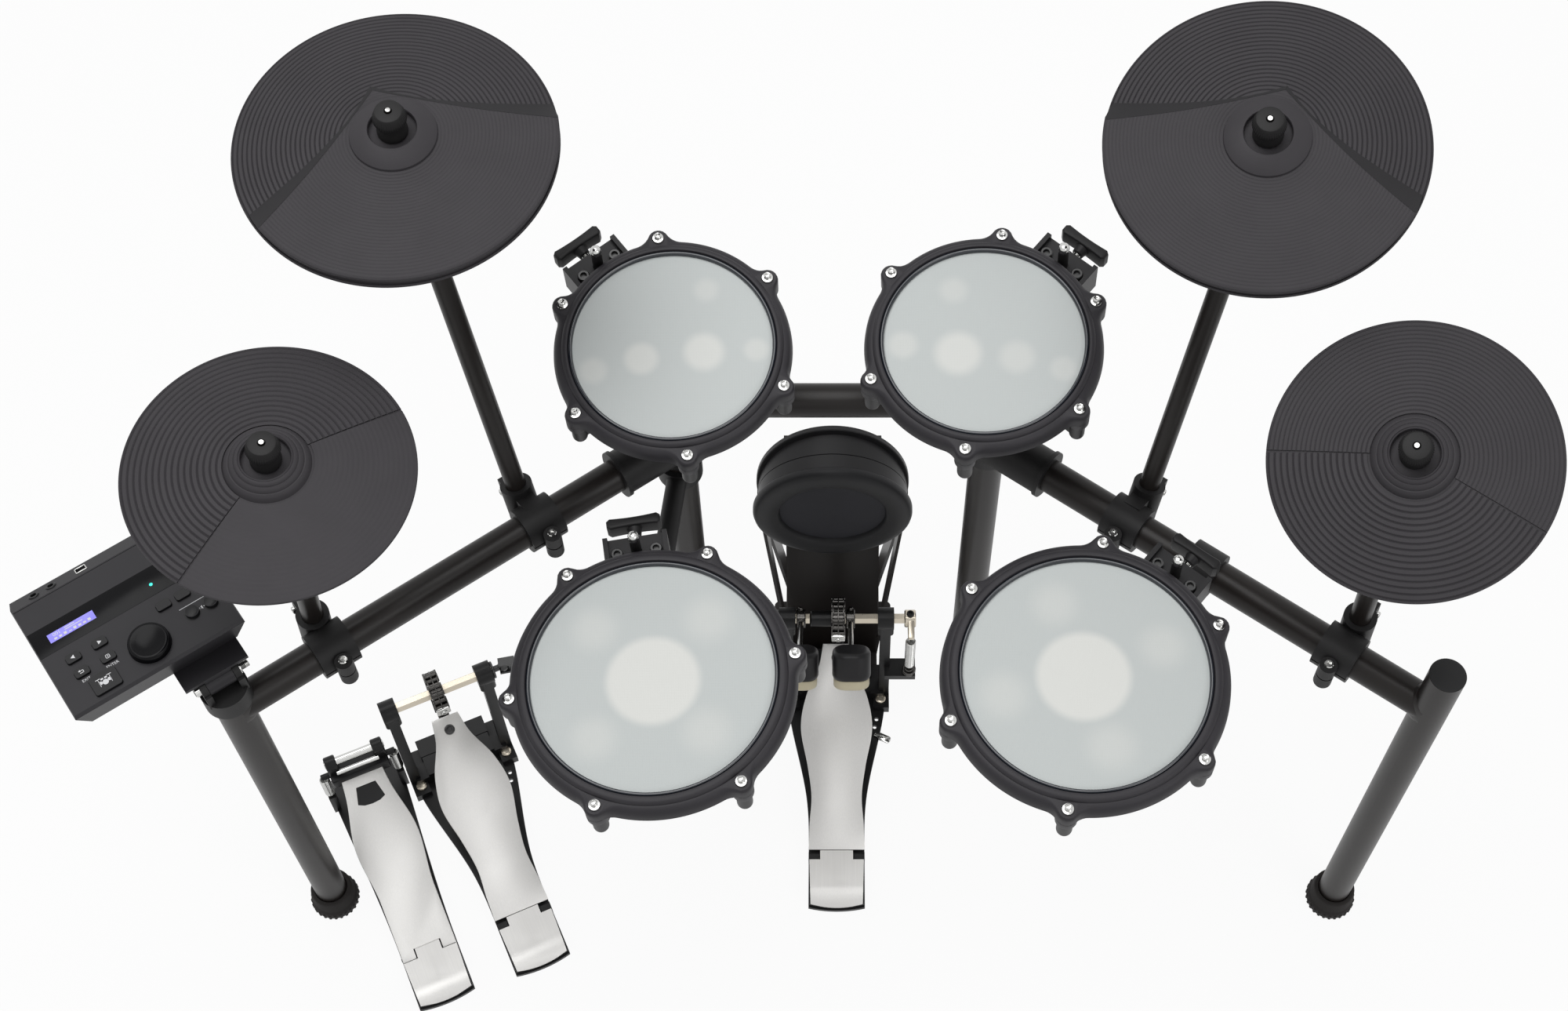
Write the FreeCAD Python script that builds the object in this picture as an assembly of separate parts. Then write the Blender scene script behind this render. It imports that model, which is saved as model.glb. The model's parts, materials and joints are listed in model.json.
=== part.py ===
import FreeCAD, Part
import math
import os

# Electronic drum kit on a tubular rack, with a kick tower, a double pedal and a hi-hat pedal.
# Millimetres. X runs across the kit, Y away from the drummer, Z up from the floor.

V = FreeCAD.Vector
UP = V(0, 0, 1)
ACROSS = V(1, 0, 0)
AWAY = V(0, 1, 0)

# Clearances
FIT = 0.3            # between round faces that turn in each other
SNUG = 0.1           # round faces that are clamped together
SLIDE = 0.4          # beside keys and cheeks that move

# Rack tubes and where they stand
PIPE_R = 19.05
BAR_R = 18.6           # bars are a little thinner, so that their coped ends fit the uprights
PIPE_WALL = 1.6
PIPE_CAP = 3.0
REAR_X = 172.0
REAR_Y = 325.0
FRONT_X = 618.0
FRONT_Y = 0.0
BAR_Z = 560.0
BAR_START = 32.0
CROSSBAR_Z = 638.0
REAR_LEG_TOP = 690.0
RIGHT_LEG_TOP = 634.0
LEFT_LEG_TOP = 604.0
FOOT_R = 29.0
FOOT_TOP_R = 25.0
FOOT_H = 36.0
FOOT_FLOOR = 7.0

# Clamps
CLAMP_WALL = 6.5
CORNER_H = 52.0
CORNER_REACH = 80.0
ARM_CLAMP_LEN = 42.0
ARM_SLEEVE_LEN = 46.0
ARM_OFFSET = 36.0
CLAMP_LUG = 13.0
CLAMP_SLIT = 2.0
CLAMP_LIP = 2.2        # raised ring at the mouth of a corner socket
CLAMP_LIP_W = 5.0
BOLT_BOSS_R = 9.5
BOLT_BOSS_H = 36.0
BOLT_BOSS_OUT = 5.0    # from the clamp's round face to the bolt's axis
CORNER_BOSS_AT = 34.0
PAD_CLAMP_H = 28.0
PAD_BOSS_R = 11.5
PAD_BOSS_REACH = {"tom_left": 54.0, "tom_right": 54.0, "snare": 132.0, "floor_tom": 54.0}

# Cymbal arms
ARM_R = 11.1
ARM_WALL = 1.5
ARM_TAIL = 42.0
ARM_BEND = 45.0
ARM_NECK = 62.0
STEM_R = 5.0
STEM_TIP_R = 2.8
STEM_TIP_L = 11.0
SEAT_R = 12.0
SEAT_H = 10.0
FELT_GAP = 1.7
NUT_R = 13.5
NUT_CAP_R = 16.0
NUT_CAP_H = 13.0
NUT_SLEEVE_R = 14.5
NUT_H = 32.0
HOLE_GAP = 0.6
ROCK_LIP = 4.0

# Cymbals: rim radius, rise of the bow, bell radius, rise of the bell
CRASH_R = 152.5
CRASH_BOW = 17.0
SMALL_R = 133.5
SMALL_BOW = 15.0
BELL_R = 40.0
BELL_RISE = 12.0
BELL_TOP_R = 25.0
CUP_R = 22.5           # hollow in the bell that the nut stands in
CUP_DEEP = 7.0
CYMBAL_T = 5.0
RIM_T = 3.0
RAISED = 7.0           # playing bow of a crash, above the plain bow at the rim
RAISED_AT_BELL = 0.4
WALL_SLOPE = 40.0      # lean of the walls at the ends of the playing bow
WALL_CIRCLE = 46.0     # circle round the bell that those walls run tangent to
BEYOND = 500.0         # size of blocks that cut away all on one side
SEAM_W = 1.6
SEAM_DEEP = 1.0

# Where each cymbal is: rim centre, normal, place along the side bar, side, first and last bearing of the
# playing sector seen from above
CYMBALS = {
    "crash_left": (V(-406.8, 355.9, 1029.2), V(0.034, -0.077, 0.996), 180.0, -1, -141.3, 12.8),
    "crash_right": (V(405.5, 359.0, 1025.1), V(-0.121, -0.218, 0.968), 180.0, 1, 166.0, 330.3),
    "hihat": (V(-512.7, 66.9, 921.1), V(0.087, -0.039, 0.995), 436.0, -1, -119.9, 32.1),
    "ride": (V(531.5, 80.5, 918.8), V(-0.2, -0.287, 0.937), 444.0, 1, 173.4, 326.5),
}

# Drum pads: visible head radius, hoop radius, bolt circle radius and shell depth
TOM_HEAD_R = 102.0
TOM_HOOP_R = 114.0
TOM_BOLT_R = 122.5
BIG_HEAD_R = 120.0
BIG_HOOP_R = 134.0
BIG_BOLT_R = 141.5
SHELL_DEPTH = 58.0
SHELL_WALL = 4.0
HEAD_T = 1.2
HOOP_SKIRT = 16.0
HOOP_LIP = 5.5
HOOP_WALL = 6.0
EAR_R = 9.5
EAR_BLEND = 9.0
EAR_EDGE = 1.5
LUG_R = 8.0
LUG_H = 34.0
LUG_GAP = 2.0
ROD_R = 5.5
ROD_OUT = 17.0
ROD_TOP = 12.0
ROD_BEND = 16.0
ROD_INSET = 9.0
BRACKET_W = 66.0
BRACKET_OUT = 34.0
BRACKET_T = 5.0
BRACKET_H = 34.0
BRACKET_DROP = 8.0
BOLT_R = 4.0
WING_REACH = 29.0
WING_H = 20.0
WING_T = 16.0
WING_END_T = 10.0
WING_EDGE = 2.4
WING_HUB_R = 8.5
WING_HUB_L = 20.0
WING_STANDOFF = 4.0
CONE_R = 26.0
BEAM_W = 24.0
BEAM_T = 4.0
BEAM_DROP = 34.0

# Pads: head centre, normal, bearing of the mount, head radius, hoop radius, bolt circle radius
PADS = {
    "tom_left": (V(-163.2, 306.0, 770.7), V(0.008, -0.158, 0.987), 128.1,
                 TOM_HEAD_R, TOM_HOOP_R, TOM_BOLT_R),
    "tom_right": (V(154.0, 306.8, 777.8), V(-0.043, -0.128, 0.991), 49.8,
                  TOM_HEAD_R, TOM_HOOP_R, TOM_BOLT_R),
    "snare": (V(-176.3, -26.9, 685.9), V(-0.032, -0.047, 0.998), 99.0, BIG_HEAD_R, BIG_HOOP_R, BIG_BOLT_R),
    "floor_tom": (V(246.8, -28.1, 696.5), V(-0.023, -0.056, 0.998), 50.2,
                  BIG_HEAD_R, BIG_HOOP_R, BIG_BOLT_R),
}
TOM_ARM_Z = 674.0
SNARE_ARM_Z = 505.0

# Sound module: a case on a tongue that tilts in a fork on the left front leg
MODULE_W = 185.0
MODULE_D = 160.0
MODULE_H = 42.0
MODULE_TOP = 686.0
MODULE_CENTRE = V(-705.6, 47.0, MODULE_TOP)
MODULE_TURN = 35.6
MODULE_EDGE = 3.0
MODULE_TAPER = 12.0
REAR_BEVEL_D = 19.0
REAR_BEVEL_H = 12.0
FORK_R = 25.0
FORK_LOW = 583.0
FORK_FLOOR = 5.0
FORK_TOP = 637.0
FORK_GAP = 30.0
FORK_CHEEK = 7.0
FORK_DEPTH = 28.0
TILT_PIN_R = 4.0
TILT_Z = 626.0
TONGUE_PLATE_W = 70.0
TONGUE_PLATE_D = 80.0
TONGUE_PLATE_T = 4.0
DIAL_R = 21.0
DIAL_H = 9.0
KEY_W = 15.0
KEY_D = 10.0
KEY_H = 3.0
KEY_DEEP = 4.0
KEY_ROOM = 1.5
KIT_KEY_W = 28.0
KIT_KEY_D = 22.0
KNOB_R = 7.0
KNOB_H = 4.0
# Controls by their place on the case top, X to the right and Y to the back from its centre
DIAL_AT = (4.1, -49.8)
KIT_KEY_AT = (-49.8, -61.4)
KEYS_AT = {
    "left_arrow_button": [(-64.0, -20.0)],
    "right_arrow_button": [(-35.8, -20.0)],
    "exit_button": [(-64.0, -39.0)],
    "enter_button": [(-35.8, -39.0)],
    "function_buttons": [(34.9, -19.0), (55.7, -19.0)],
}
KNOBS_AT = [(54.7, -42.5), (75.2, -42.5)]
# Sockets in the sloping rear edge: distance across from the centre
JACKS_AT = [-65.7, -47.0]
JACK_R = 3.2
JACK_DEEP = 12.0
PORT_AT = -14.0
PORT_W = 10.0
PORT_H = 9.0
PORT_DEEP = 9.0

# Kick tower
KICK_CENTRE = V(0, 361.0, 340.0)
KICK_LEAN = 13.0
KICK_R = 96.0
KICK_FACE_R = 66.0
KICK_FACE_DEEP = 5.0
KICK_RING_T = 14.0
KICK_BODY_R = 87.0
KICK_RIM_R = 92.0
KICK_RIM_T = 9.0
KICK_DEPTH = 52.0
PANEL_W = 116.0
PANEL_T = 4.0
PANEL_TOP = 395.0
FLOOR_CUT = 60.0       # depth of the block that trims the struts level with the floor
TOWER_BASE_W = 154.0   # across the two ears
TOWER_STEM_W = 116.0
TOWER_EAR_AT = 77.0    # from the front edge of the base plate to its ears
TOWER_EAR_D = 16.0
TOWER_BASE_D = 170.0
TOWER_BASE_T = 5.0
STRUT_T = 4.0
STRUT_FLARE = 7.0
STRUT_TOP = 285.0
STRUT_TOP_D = 34.0
STRUT_FOOT_D = 120.0
STRUT_RIM = 20.0

# Pedals, measured from the heel: U runs to the toe, V to the right
HEEL_W = 70.0
HEEL_END = 60.0
HEEL_ARC = 4.0         # how far the middle of the rear edge stands behind its corners
HEEL_DROOP = 26.0      # length over which the plate curves down to the back
HEEL_LIP_Z = 8.0
HINGE_U = 68.0
HINGE_Z = 15.0
HINGE_R = 4.6
HINGE_PIN_R = 2.2
HINGE_GAP = 1.5        # along the pin, between knuckles
HEEL_TONGUE_W = 31.0   # middle knuckle of the hi-hat pedal
KNUCKLE_W = 13.0
BASE_T = 5.0
BASE_END = 338.0
BASE_FRONT_W = 126.0
BASE_WAIST_U = 150.0
BASE_WAIST_W = 76.0
BASE_FLARE_U = 285.0
BOARD_T = 5.0
BOARD_ANGLE = 17.5
BOARD_LEN = 267.0
BOARD_WAIST_W = 68.0
BOARD_WAIST = 72.0
BOARD_BELLY_W = 91.0
BOARD_BELLY = 158.0
BOARD_TOE_W = 34.0
BOARD_NECK = 232.0
SHAFT_U = 313.0
SHAFT_Z = 186.0
SHAFT_R = 6.5
POST_V = 61.0
POST_W = 13.0
POST_D = 17.0
POST_CAP_H = 22.0
SILL_D = 22.0          # casting between the feet of the posts
SILL_H = 19.0
SILL_BOX_W = 20.0
SILL_BOX_V = 34.0
SILL_BOX_H = 30.0
POST_FOOT_U = 298.0
POST_FOOT_IN = 13.0    # how far a post's foot reaches inward from its axis
BEARING_R = 14.0
BEARING_W = 20.0
CAM_R = 22.0
CAM_W = 15.0
CHAIN_PITCH = 9.0
CHAIN_ROLLER_R = 2.6
CHAIN_W = 17.0
CHAIN_PLATE_T = 1.4
CHAIN_PLATE_H = 6.4
CHAIN_SEAT = 0.8       # how deep the rollers lie in the cam
CHAIN_GAP = 0.8        # between the cam and the straight run
CHAIN_OPEN = 5.0       # from the shaft's height down to the last roller of the straight run
CHAIN_FROM = 14.0
CHAIN_LINKS = 8
HUB_R = 12.0
HUB_W = 11.0
BEATER_REACH = 165.0
BEATER_REST = 136.0
BEATER_ROD_R = 3.2
BEATER_W = 45.0
BEATER_FRONT = 19.0    # from the rod's axis to the hard face
BEATER_BACK = 27.0     # and to the felt face
BEATER_TALL = 42.0
BEATER_EDGE = 13.0
MAIN_BEATER_V = 17.0
SECOND_BEATER_V = -44.0
CAM_V = 2.0
SPLIT_V = -33.0
INNER_SHAFT_R = 4.0
INNER_SHAFT_L = 14.0
SPRING_LEVER_V = 92.0
LEVER_REACH = 22.0
LEVER_H = 10.0
ANCHOR_H = 10.0
SPRING_DROP = 100.0
CLAMP_BLOCK_H = 30.0
CLAMP_BLOCK_D = 24.0
JAW_W = 60.0
JAW_REACH = 11.0
POST_FOOT_W = 14.0
BASE_HOLES = [(259.5, -51.8), (248.5, -49.3)]
BASE_HOLE_R = 2.6

KICK_HEEL = V(5.0, -19.0, 0)
KICK_TURN = 0.0
SLAVE_HEEL = V(-352.5, -91.5, 0)
SLAVE_TURN = 24.5
HIHAT_HEEL = V(-466.0, -135.0, 0)
HIHAT_TURN = 24.1

# Universal joints of the drive shaft
JOINT_BALL_R = 7.0
JOINT_NECK_R = 4.0
JOINT_NECK_L = 12.0
YOKE_EAR_T = 4.0
YOKE_EAR_W = 11.0
YOKE_LAP = 5.0
YOKE_DEPTH = 15.0
DRIVE_R = 6.0

# Hi-hat pedal
HIHAT_BASE_END = 335.0
HIHAT_FRONT_W = 96.0
HIHAT_BOARD_LEN = 236.0
HIHAT_BELLY_W = 80.0
HIHAT_TOE_W = 52.0
YOKE_W = 74.0
YOKE_H = 30.0
YOKE_D = 20.0
EYE_R = 9.0
EYE_W = 14.0
HIHAT_SHAFT_R = 5.0
SPRING_POST_V = 45.0
SPRING_POST_W = 9.0
SPRING_POST_H = 42.0
SPRING_PIN_R = 4.0
SPRING_PIN_END = 3.0

# Coil springs
SPRING_R = 5.5
SPRING_WIRE_R = 0.9
KICK_SPRING_TURNS = 9
HIHAT_SPRING_TURNS = 6


# Small building blocks

def unit(vector):
    return V(vector) / vector.Length


def polar(radius, degrees, z=0.0):
    angle = math.radians(degrees)
    return V(radius * math.cos(angle), radius * math.sin(angle), z)


def placed(origin, z_axis, x_hint):
    """Placement with its Z along z_axis and its X turned as near to x_hint as it goes."""
    z = unit(z_axis)
    x = unit(x_hint - z * x_hint.dot(z))
    return FreeCAD.Placement(origin, FreeCAD.Rotation(x, z.cross(x), z, "ZXY"))


def put(shape, placement):
    moved = shape.copy()
    moved.Placement = placement.multiply(moved.Placement)
    return moved


def rod(start, end, radius):
    return Part.makeCylinder(radius, (end - start).Length, start, end - start)


def block(x0, x1, y0, y1, z0, z1):
    return Part.makeBox(x1 - x0, y1 - y0, z1 - z0, V(x0, y0, z0))


def turned(profile):
    """Solid of revolution about Z from (radius, height) points."""
    points = [V(r, 0, z) for r, z in profile]
    face = Part.Face(Part.makePolygon(points + points[:1]))
    return face.revolve(V(), UP, 360)


def prism(points, z0, z1):
    corners = [V(x, y, z0) for x, y in points]
    face = Part.Face(Part.makePolygon(corners + corners[:1]))
    return face.extrude(V(0, 0, z1 - z0))


def fused(shapes):
    whole = shapes[0].multiFuse(shapes[1:])
    return whole.removeSplitter()


def elbow_path(start, corner, end, bend):
    """Two straight runs joined by a tangent arc of the given radius."""
    first = unit(corner - start)
    second = unit(end - corner)
    half_turn = first.getAngle(second) / 2
    back = bend * math.tan(half_turn)
    enter = corner - first * back
    leave = corner + second * back
    inward = unit(second - first)
    middle = corner + inward * (bend / math.cos(half_turn) - bend)
    return Part.Wire([
        Part.LineSegment(start, enter).toShape(),
        Part.Arc(enter, middle, leave).toShape(),
        Part.LineSegment(leave, end).toShape(),
    ])


def bent_rod(start, corner, end, radius, bend):
    section = Part.Wire(Part.Circle(start, corner - start, radius).toShape())
    return elbow_path(start, corner, end, bend).makePipeShell([section], True, False)


def smooth_outline(stations, heel_arc=0.0):
    """Mirrored outline through (length, half width) stations: straight to the second one, then smooth.
    The first end can be bowed out by heel_arc."""
    edges = []
    for side in (-1, 1):
        points = [V(u, side * w, 0) for u, w in stations]
        curve = Part.BSplineCurve()
        ahead = points[1] - points[0]
        curve.interpolate(Points=points[1:], InitialTangent=ahead, FinalTangent=points[-1] - points[-2])
        edges += [Part.LineSegment(points[0], points[1]).toShape(), curve.toShape()]
    for (u, w), bow in ((stations[0], heel_arc), (stations[-1], 0.0)):
        if bow:
            edges.append(Part.Arc(V(u, -w, 0), V(u - bow, 0, 0), V(u, w, 0)).toShape())
        else:
            edges.append(Part.LineSegment(V(u, -w, 0), V(u, w, 0)).toShape())
    return Part.Face(Part.Wire(Part.__sortEdges__(edges)))


# Coil springs, wound as pairs of tangent arcs

def arc_from(start, tangent, end):
    chord = end - start
    along = unit(chord)
    side = tangent - along * tangent.dot(along)
    lean = tangent.getAngle(chord)
    middle = (start + end) / 2 + unit(side) * (chord.Length / 2 * math.tan(lean / 2))
    return Part.Arc(start, middle, end).toShape()


def biarc(p0, t0, p1, t1):
    """Two arcs that leave p0 along t0, meet smoothly and reach p1 along t1."""
    gap = p1 - p0
    a = 2 * (1 - t0.dot(t1))
    b = 2 * gap.dot(t0 + t1)
    c = -gap.dot(gap)
    reach = (-b + math.sqrt(b * b - 4 * a * c)) / (2 * a)
    meet = (p0 + t0 * reach + p1 - t1 * reach) / 2
    back = arc_from(p1, t1 * -1, meet)
    return [arc_from(p0, t0, meet), back]


def coil(start, end, turns):
    """Coil spring between two points, with its wire ends square to the axis."""
    axis = unit(end - start)
    frame = placed(start, axis, ACROSS if abs(axis.x) < 0.9 else AWAY)
    pitch = (end - start).Length / turns
    slope = pitch / (2 * math.pi)
    edges = []

    def point(half_turn):
        angle = half_turn * math.pi
        return V(SPRING_R * math.cos(angle), SPRING_R * math.sin(angle), slope * angle)

    def tangent(half_turn):
        angle = half_turn * math.pi
        return unit(V(-SPRING_R * math.sin(angle), SPRING_R * math.cos(angle), slope))

    for step in range(2 * turns):
        edges += biarc(point(step), tangent(step), point(step + 1), tangent(step + 1))
    section = Part.Wire(Part.Circle(point(0), tangent(0), SPRING_WIRE_R).toShape())
    wire = Part.Wire(Part.__sortEdges__(edges))
    spring = wire.makePipeShell([section], True, False)
    print("least gap between turns of a spring", round(least_gap(wire, turns), 3))
    return put(spring, frame)


def least_gap(wire, turns):
    """Least distance between the wire's surfaces, measured on points more than half a turn apart."""
    per_turn = 24
    points = wire.discretize(Number=int(turns * per_turn) + 1)
    apart = per_turn // 2
    least = min(
        (points[j] - points[i]).Length
        for i in range(len(points))
        for j in range(i + apart, len(points))
    )
    return least - 2 * SPRING_WIRE_R


# Rack

def bar_line(side):
    rear = V(side * REAR_X, REAR_Y, BAR_Z)
    front = V(side * FRONT_X, FRONT_Y, BAR_Z)
    return rear, front, unit(front - rear)


def far_side(side):
    """Level direction from a side bar away from the drummer."""
    along = bar_line(side)[2]
    return along.cross(UP) * -side


def side_frame(side, leg_top):
    rear, front, along = bar_line(side)
    start = rear + along * BAR_START
    low = V(front.x, front.y, FOOT_FLOOR)
    top = V(front.x, front.y, leg_top)
    outside = rod(start, front, BAR_R).fuse(rod(low, top, PIPE_R))
    bar_bore = rod(start - along, front, BAR_R - PIPE_WALL)
    inside = bar_bore.fuse(rod(low - UP, top - UP * PIPE_CAP, PIPE_R - PIPE_WALL))
    return outside.cut(inside)


def rear_frame():
    inner_r = PIPE_R - PIPE_WALL
    outside = rod(V(-REAR_X, REAR_Y, CROSSBAR_Z), V(REAR_X, REAR_Y, CROSSBAR_Z), BAR_R)
    inside = rod(V(-REAR_X, REAR_Y, CROSSBAR_Z), V(REAR_X, REAR_Y, CROSSBAR_Z), BAR_R - PIPE_WALL)
    for side in (-1, 1):
        low = V(side * REAR_X, REAR_Y, FOOT_FLOOR)
        top = V(side * REAR_X, REAR_Y, REAR_LEG_TOP)
        outside = outside.fuse(rod(low, top, PIPE_R))
        inside = inside.fuse(rod(low - UP, top - UP * PIPE_CAP, inner_r))
    return outside.cut(inside)


def foot(x, y):
    bore = PIPE_R + SNUG
    shape = turned([
        (0, 0), (FOOT_R - 3, 0), (FOOT_R, 3), (FOOT_R, 12), (FOOT_TOP_R + 1, 16),
        (FOOT_TOP_R, FOOT_H - 2), (FOOT_TOP_R - 2, FOOT_H), (bore, FOOT_H), (bore, FOOT_FLOOR),
        (0, FOOT_FLOOR),
    ])
    shape.translate(V(x, y, 0))
    return shape


def corner_clamp(side):
    """Sleeve that turns on the rear upright, with a socket that grips the end of the side bar."""
    rear, front, along = bar_line(side)
    half = UP * (CORNER_H / 2)
    sleeve_r = PIPE_R + CLAMP_WALL
    socket_end = rear + along * CORNER_REACH
    boss_at = rear + along * CORNER_BOSS_AT + far_side(side) * (sleeve_r + BOLT_BOSS_OUT)
    half_boss = UP * (BOLT_BOSS_H / 2)
    body = fused([
        rod(rear - half, rear + half, sleeve_r),
        rod(rear, socket_end, sleeve_r),
        rod(socket_end - along * CLAMP_LIP_W, socket_end, sleeve_r + CLAMP_LIP),
        rod(boss_at - half_boss, boss_at + half_boss, BOLT_BOSS_R),
    ])
    upright = rod(rear - half * 2, rear + half * 2, PIPE_R + FIT)
    socket = rod(rear + along * BAR_START, socket_end + along, BAR_R + SNUG)
    return body.cut(upright).cut(socket)


def arm_clamp(name):
    """Clamp round the side bar with a split sleeve for the cymbal arm on its far side."""
    side = CYMBALS[name][3]
    along = bar_line(side)[2]
    out = far_side(side)
    grip, lean = arm_axis(name)
    on_bar = grip - out * ARM_OFFSET
    half_bar = along * (ARM_CLAMP_LEN / 2)
    half_sleeve = lean * (ARM_SLEEVE_LEN / 2)
    sleeve_r = ARM_R + CLAMP_WALL
    frame = placed(grip, lean, out)
    web = put(block(-ARM_OFFSET, 0, -10, 10, -15, 15), frame)
    lugs = put(block(sleeve_r - 5, sleeve_r + CLAMP_LUG, -9, 9, -14, 14), frame)
    slit = put(block(0, sleeve_r + CLAMP_LUG + 1, -CLAMP_SLIT / 2, CLAMP_SLIT / 2, -40, 40), frame)
    ring_r = PIPE_R + CLAMP_WALL
    boss_out = ring_r + BOLT_BOSS_OUT
    boss_at = on_bar - out * boss_out
    half_boss = UP * (BOLT_BOSS_H / 2)
    slot = CLAMP_SLIT / 2
    parting = block(-boss_out - BOLT_BOSS_R - 1, 0, -ARM_CLAMP_LEN, ARM_CLAMP_LEN, -slot, slot)
    parting = put(parting, placed(on_bar, UP, out))
    body = fused([
        rod(on_bar - half_bar, on_bar + half_bar, ring_r),
        rod(grip - half_sleeve, grip + half_sleeve, sleeve_r),
        rod(boss_at - half_boss, boss_at + half_boss, BOLT_BOSS_R),
        web,
        lugs,
    ])
    bar_hole = rod(on_bar - half_bar * 2, on_bar + half_bar * 2, BAR_R + SNUG)
    arm_hole = rod(grip - half_sleeve * 2, grip + half_sleeve * 2, ARM_R + FIT)
    return body.cut(bar_hole).cut(arm_hole).cut(slit).cut(parting)


# Cymbals and their arms

def cymbal_profile(name):
    """Rim radius, bow and total rise of a cymbal at its hole."""
    if name.startswith("crash"):
        return CRASH_R, CRASH_BOW
    return SMALL_R, SMALL_BOW


def cymbal_frame(name):
    centre, normal = CYMBALS[name][:2]
    return placed(centre, normal, ACROSS)


def hole_height(name):
    """Height of the floor of the bell's hollow, where the cymbal rests on its stem."""
    return cymbal_profile(name)[1] + BELL_RISE - CUP_DEEP


def arm_axis(name):
    """Where the arm passes its clamp, and the direction of its straight run."""
    centre, normal, along_bar, side = CYMBALS[name][:4]
    rear, front, along = bar_line(side)
    grip = rear + along * along_bar + far_side(side) * ARM_OFFSET
    return grip, unit(arm_corner(name) - grip)


def arm_corner(name):
    """Where the arm's straight run meets the line of its stem."""
    centre, normal = CYMBALS[name][:2]
    return centre - unit(normal) * (ARM_NECK - hole_height(name))


def cymbal_arm(name):
    """Tube with a bend near its top, a shoulder with the felt seat, and the stem for the cymbal."""
    centre, normal = CYMBALS[name][:2]
    n = unit(normal)
    grip, lean = arm_axis(name)
    start = grip - lean * (ARM_SLEEVE_LEN / 2 + ARM_TAIL)
    corner = arm_corner(name)
    rise = hole_height(name)
    seat_top = centre + n * (rise - ROCK_LIP - FELT_GAP)
    shoulder = seat_top - n * SEAT_H
    tube = bent_rod(start, corner, shoulder, ARM_R, ARM_BEND)
    bore = bent_rod(start - lean, corner, shoulder - n * 8, ARM_R - ARM_WALL, ARM_BEND)
    tip = centre + n * (rise + FELT_GAP + NUT_H + 1.5)
    stem_end = tip - n * STEM_TIP_L
    top = [
        rod(shoulder, seat_top, SEAT_R),
        rod(shoulder - n * 4, stem_end, STEM_R),
        rod(stem_end, tip, STEM_TIP_R),
    ]
    return fused([tube.cut(bore)] + top)


def cymbal_nut(name):
    """Cap nut on a sleeve, threaded on the stem; the stem's thin tip shows in the hole on top."""
    rise = hole_height(name)
    bore = STEM_R + FIT
    tip_bore = STEM_TIP_R + FIT
    low = rise + FELT_GAP
    top = low + NUT_H
    cap = top - NUT_CAP_H
    step = top + 1.5 - STEM_TIP_L + FIT
    shape = turned([
        (bore, low), (NUT_SLEEVE_R, low), (NUT_SLEEVE_R, cap), (NUT_CAP_R, cap), (NUT_CAP_R, cap + 3),
        (NUT_R, top - 2), (NUT_R - 2, top), (tip_bore, top), (tip_bore, step), (bore, step),
    ])
    return put(shape, cymbal_frame(name))


def bow_height(radius, rim_r, bow):
    """Height of the bow's top face at a radius, curved gently down to the rim."""
    share = (rim_r - radius) / (rim_r - BELL_R)
    return bow * math.sin(share * math.pi / 2) * 0.35 + bow * share * 0.65


def cymbal_body(name, lift, lift_at_bell):
    """Revolved cymbal with its bell and the hollow in it; the bow can be lifted towards the rim."""
    rim_r, bow = cymbal_profile(name)
    floor = hole_height(name)
    rise = floor + CUP_DEEP
    hole = STEM_R + HOLE_GAP
    middle = (rim_r + BELL_R) / 2
    under = [
        V(rim_r, 0, -RIM_T),
        V(middle, 0, bow_height(middle, rim_r, bow) - CYMBAL_T),
        V(BELL_R, 0, bow - CYMBAL_T),
    ]
    top = [
        V(rim_r, 0, lift),
        V(middle, 0, bow_height(middle, rim_r, bow) + (lift + lift_at_bell) / 2),
        V(BELL_R, 0, bow + lift_at_bell),
    ]
    bell_shoulder = V((BELL_R + BELL_TOP_R) / 2, 0, bow + BELL_RISE * 0.62)
    bell_low = V(CUP_R + CYMBAL_T, 0, floor - ROCK_LIP)
    edges = [
        Part.LineSegment(under[0], top[0]).toShape(),
        Part.Arc(*top).toShape(),
        Part.Arc(top[2], bell_shoulder, V(BELL_TOP_R, 0, rise)).toShape(),
        Part.makePolygon([V(BELL_TOP_R, 0, rise), V(CUP_R, 0, rise), V(CUP_R, 0, floor), V(hole, 0, floor)]),
        Part.makePolygon([V(hole, 0, floor), V(hole, 0, floor - ROCK_LIP), bell_low, under[2]]),
        Part.Arc(*under).toShape(),
    ]
    outline = [edge for shape in edges for edge in shape.Edges]
    face = Part.Face(Part.Wire(Part.__sortEdges__(outline)))
    return face.revolve(V(), UP, 360)


def behind_wall(name, bearing, turn):
    """Everything behind one end wall of the playing bow: the wall leaves the rim and runs past the bell."""
    rim_r, bow = cymbal_profile(name)
    swing = turn * math.degrees(math.acos(WALL_CIRCLE / rim_r))
    at_rim = polar(rim_r, bearing)
    at_bell = polar(WALL_CIRCLE, bearing + swing, bow_height(WALL_CIRCLE, rim_r, bow))
    lean = math.radians(WALL_SLOPE)
    outward = polar(math.cos(lean), bearing + swing, math.sin(lean))
    along = unit(at_bell - at_rim)
    outward = outward - along * outward.dot(along)
    return put(block(-BEYOND, BEYOND, -BEYOND, BEYOND, 0, BEYOND), placed(at_rim, outward, along))


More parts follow.
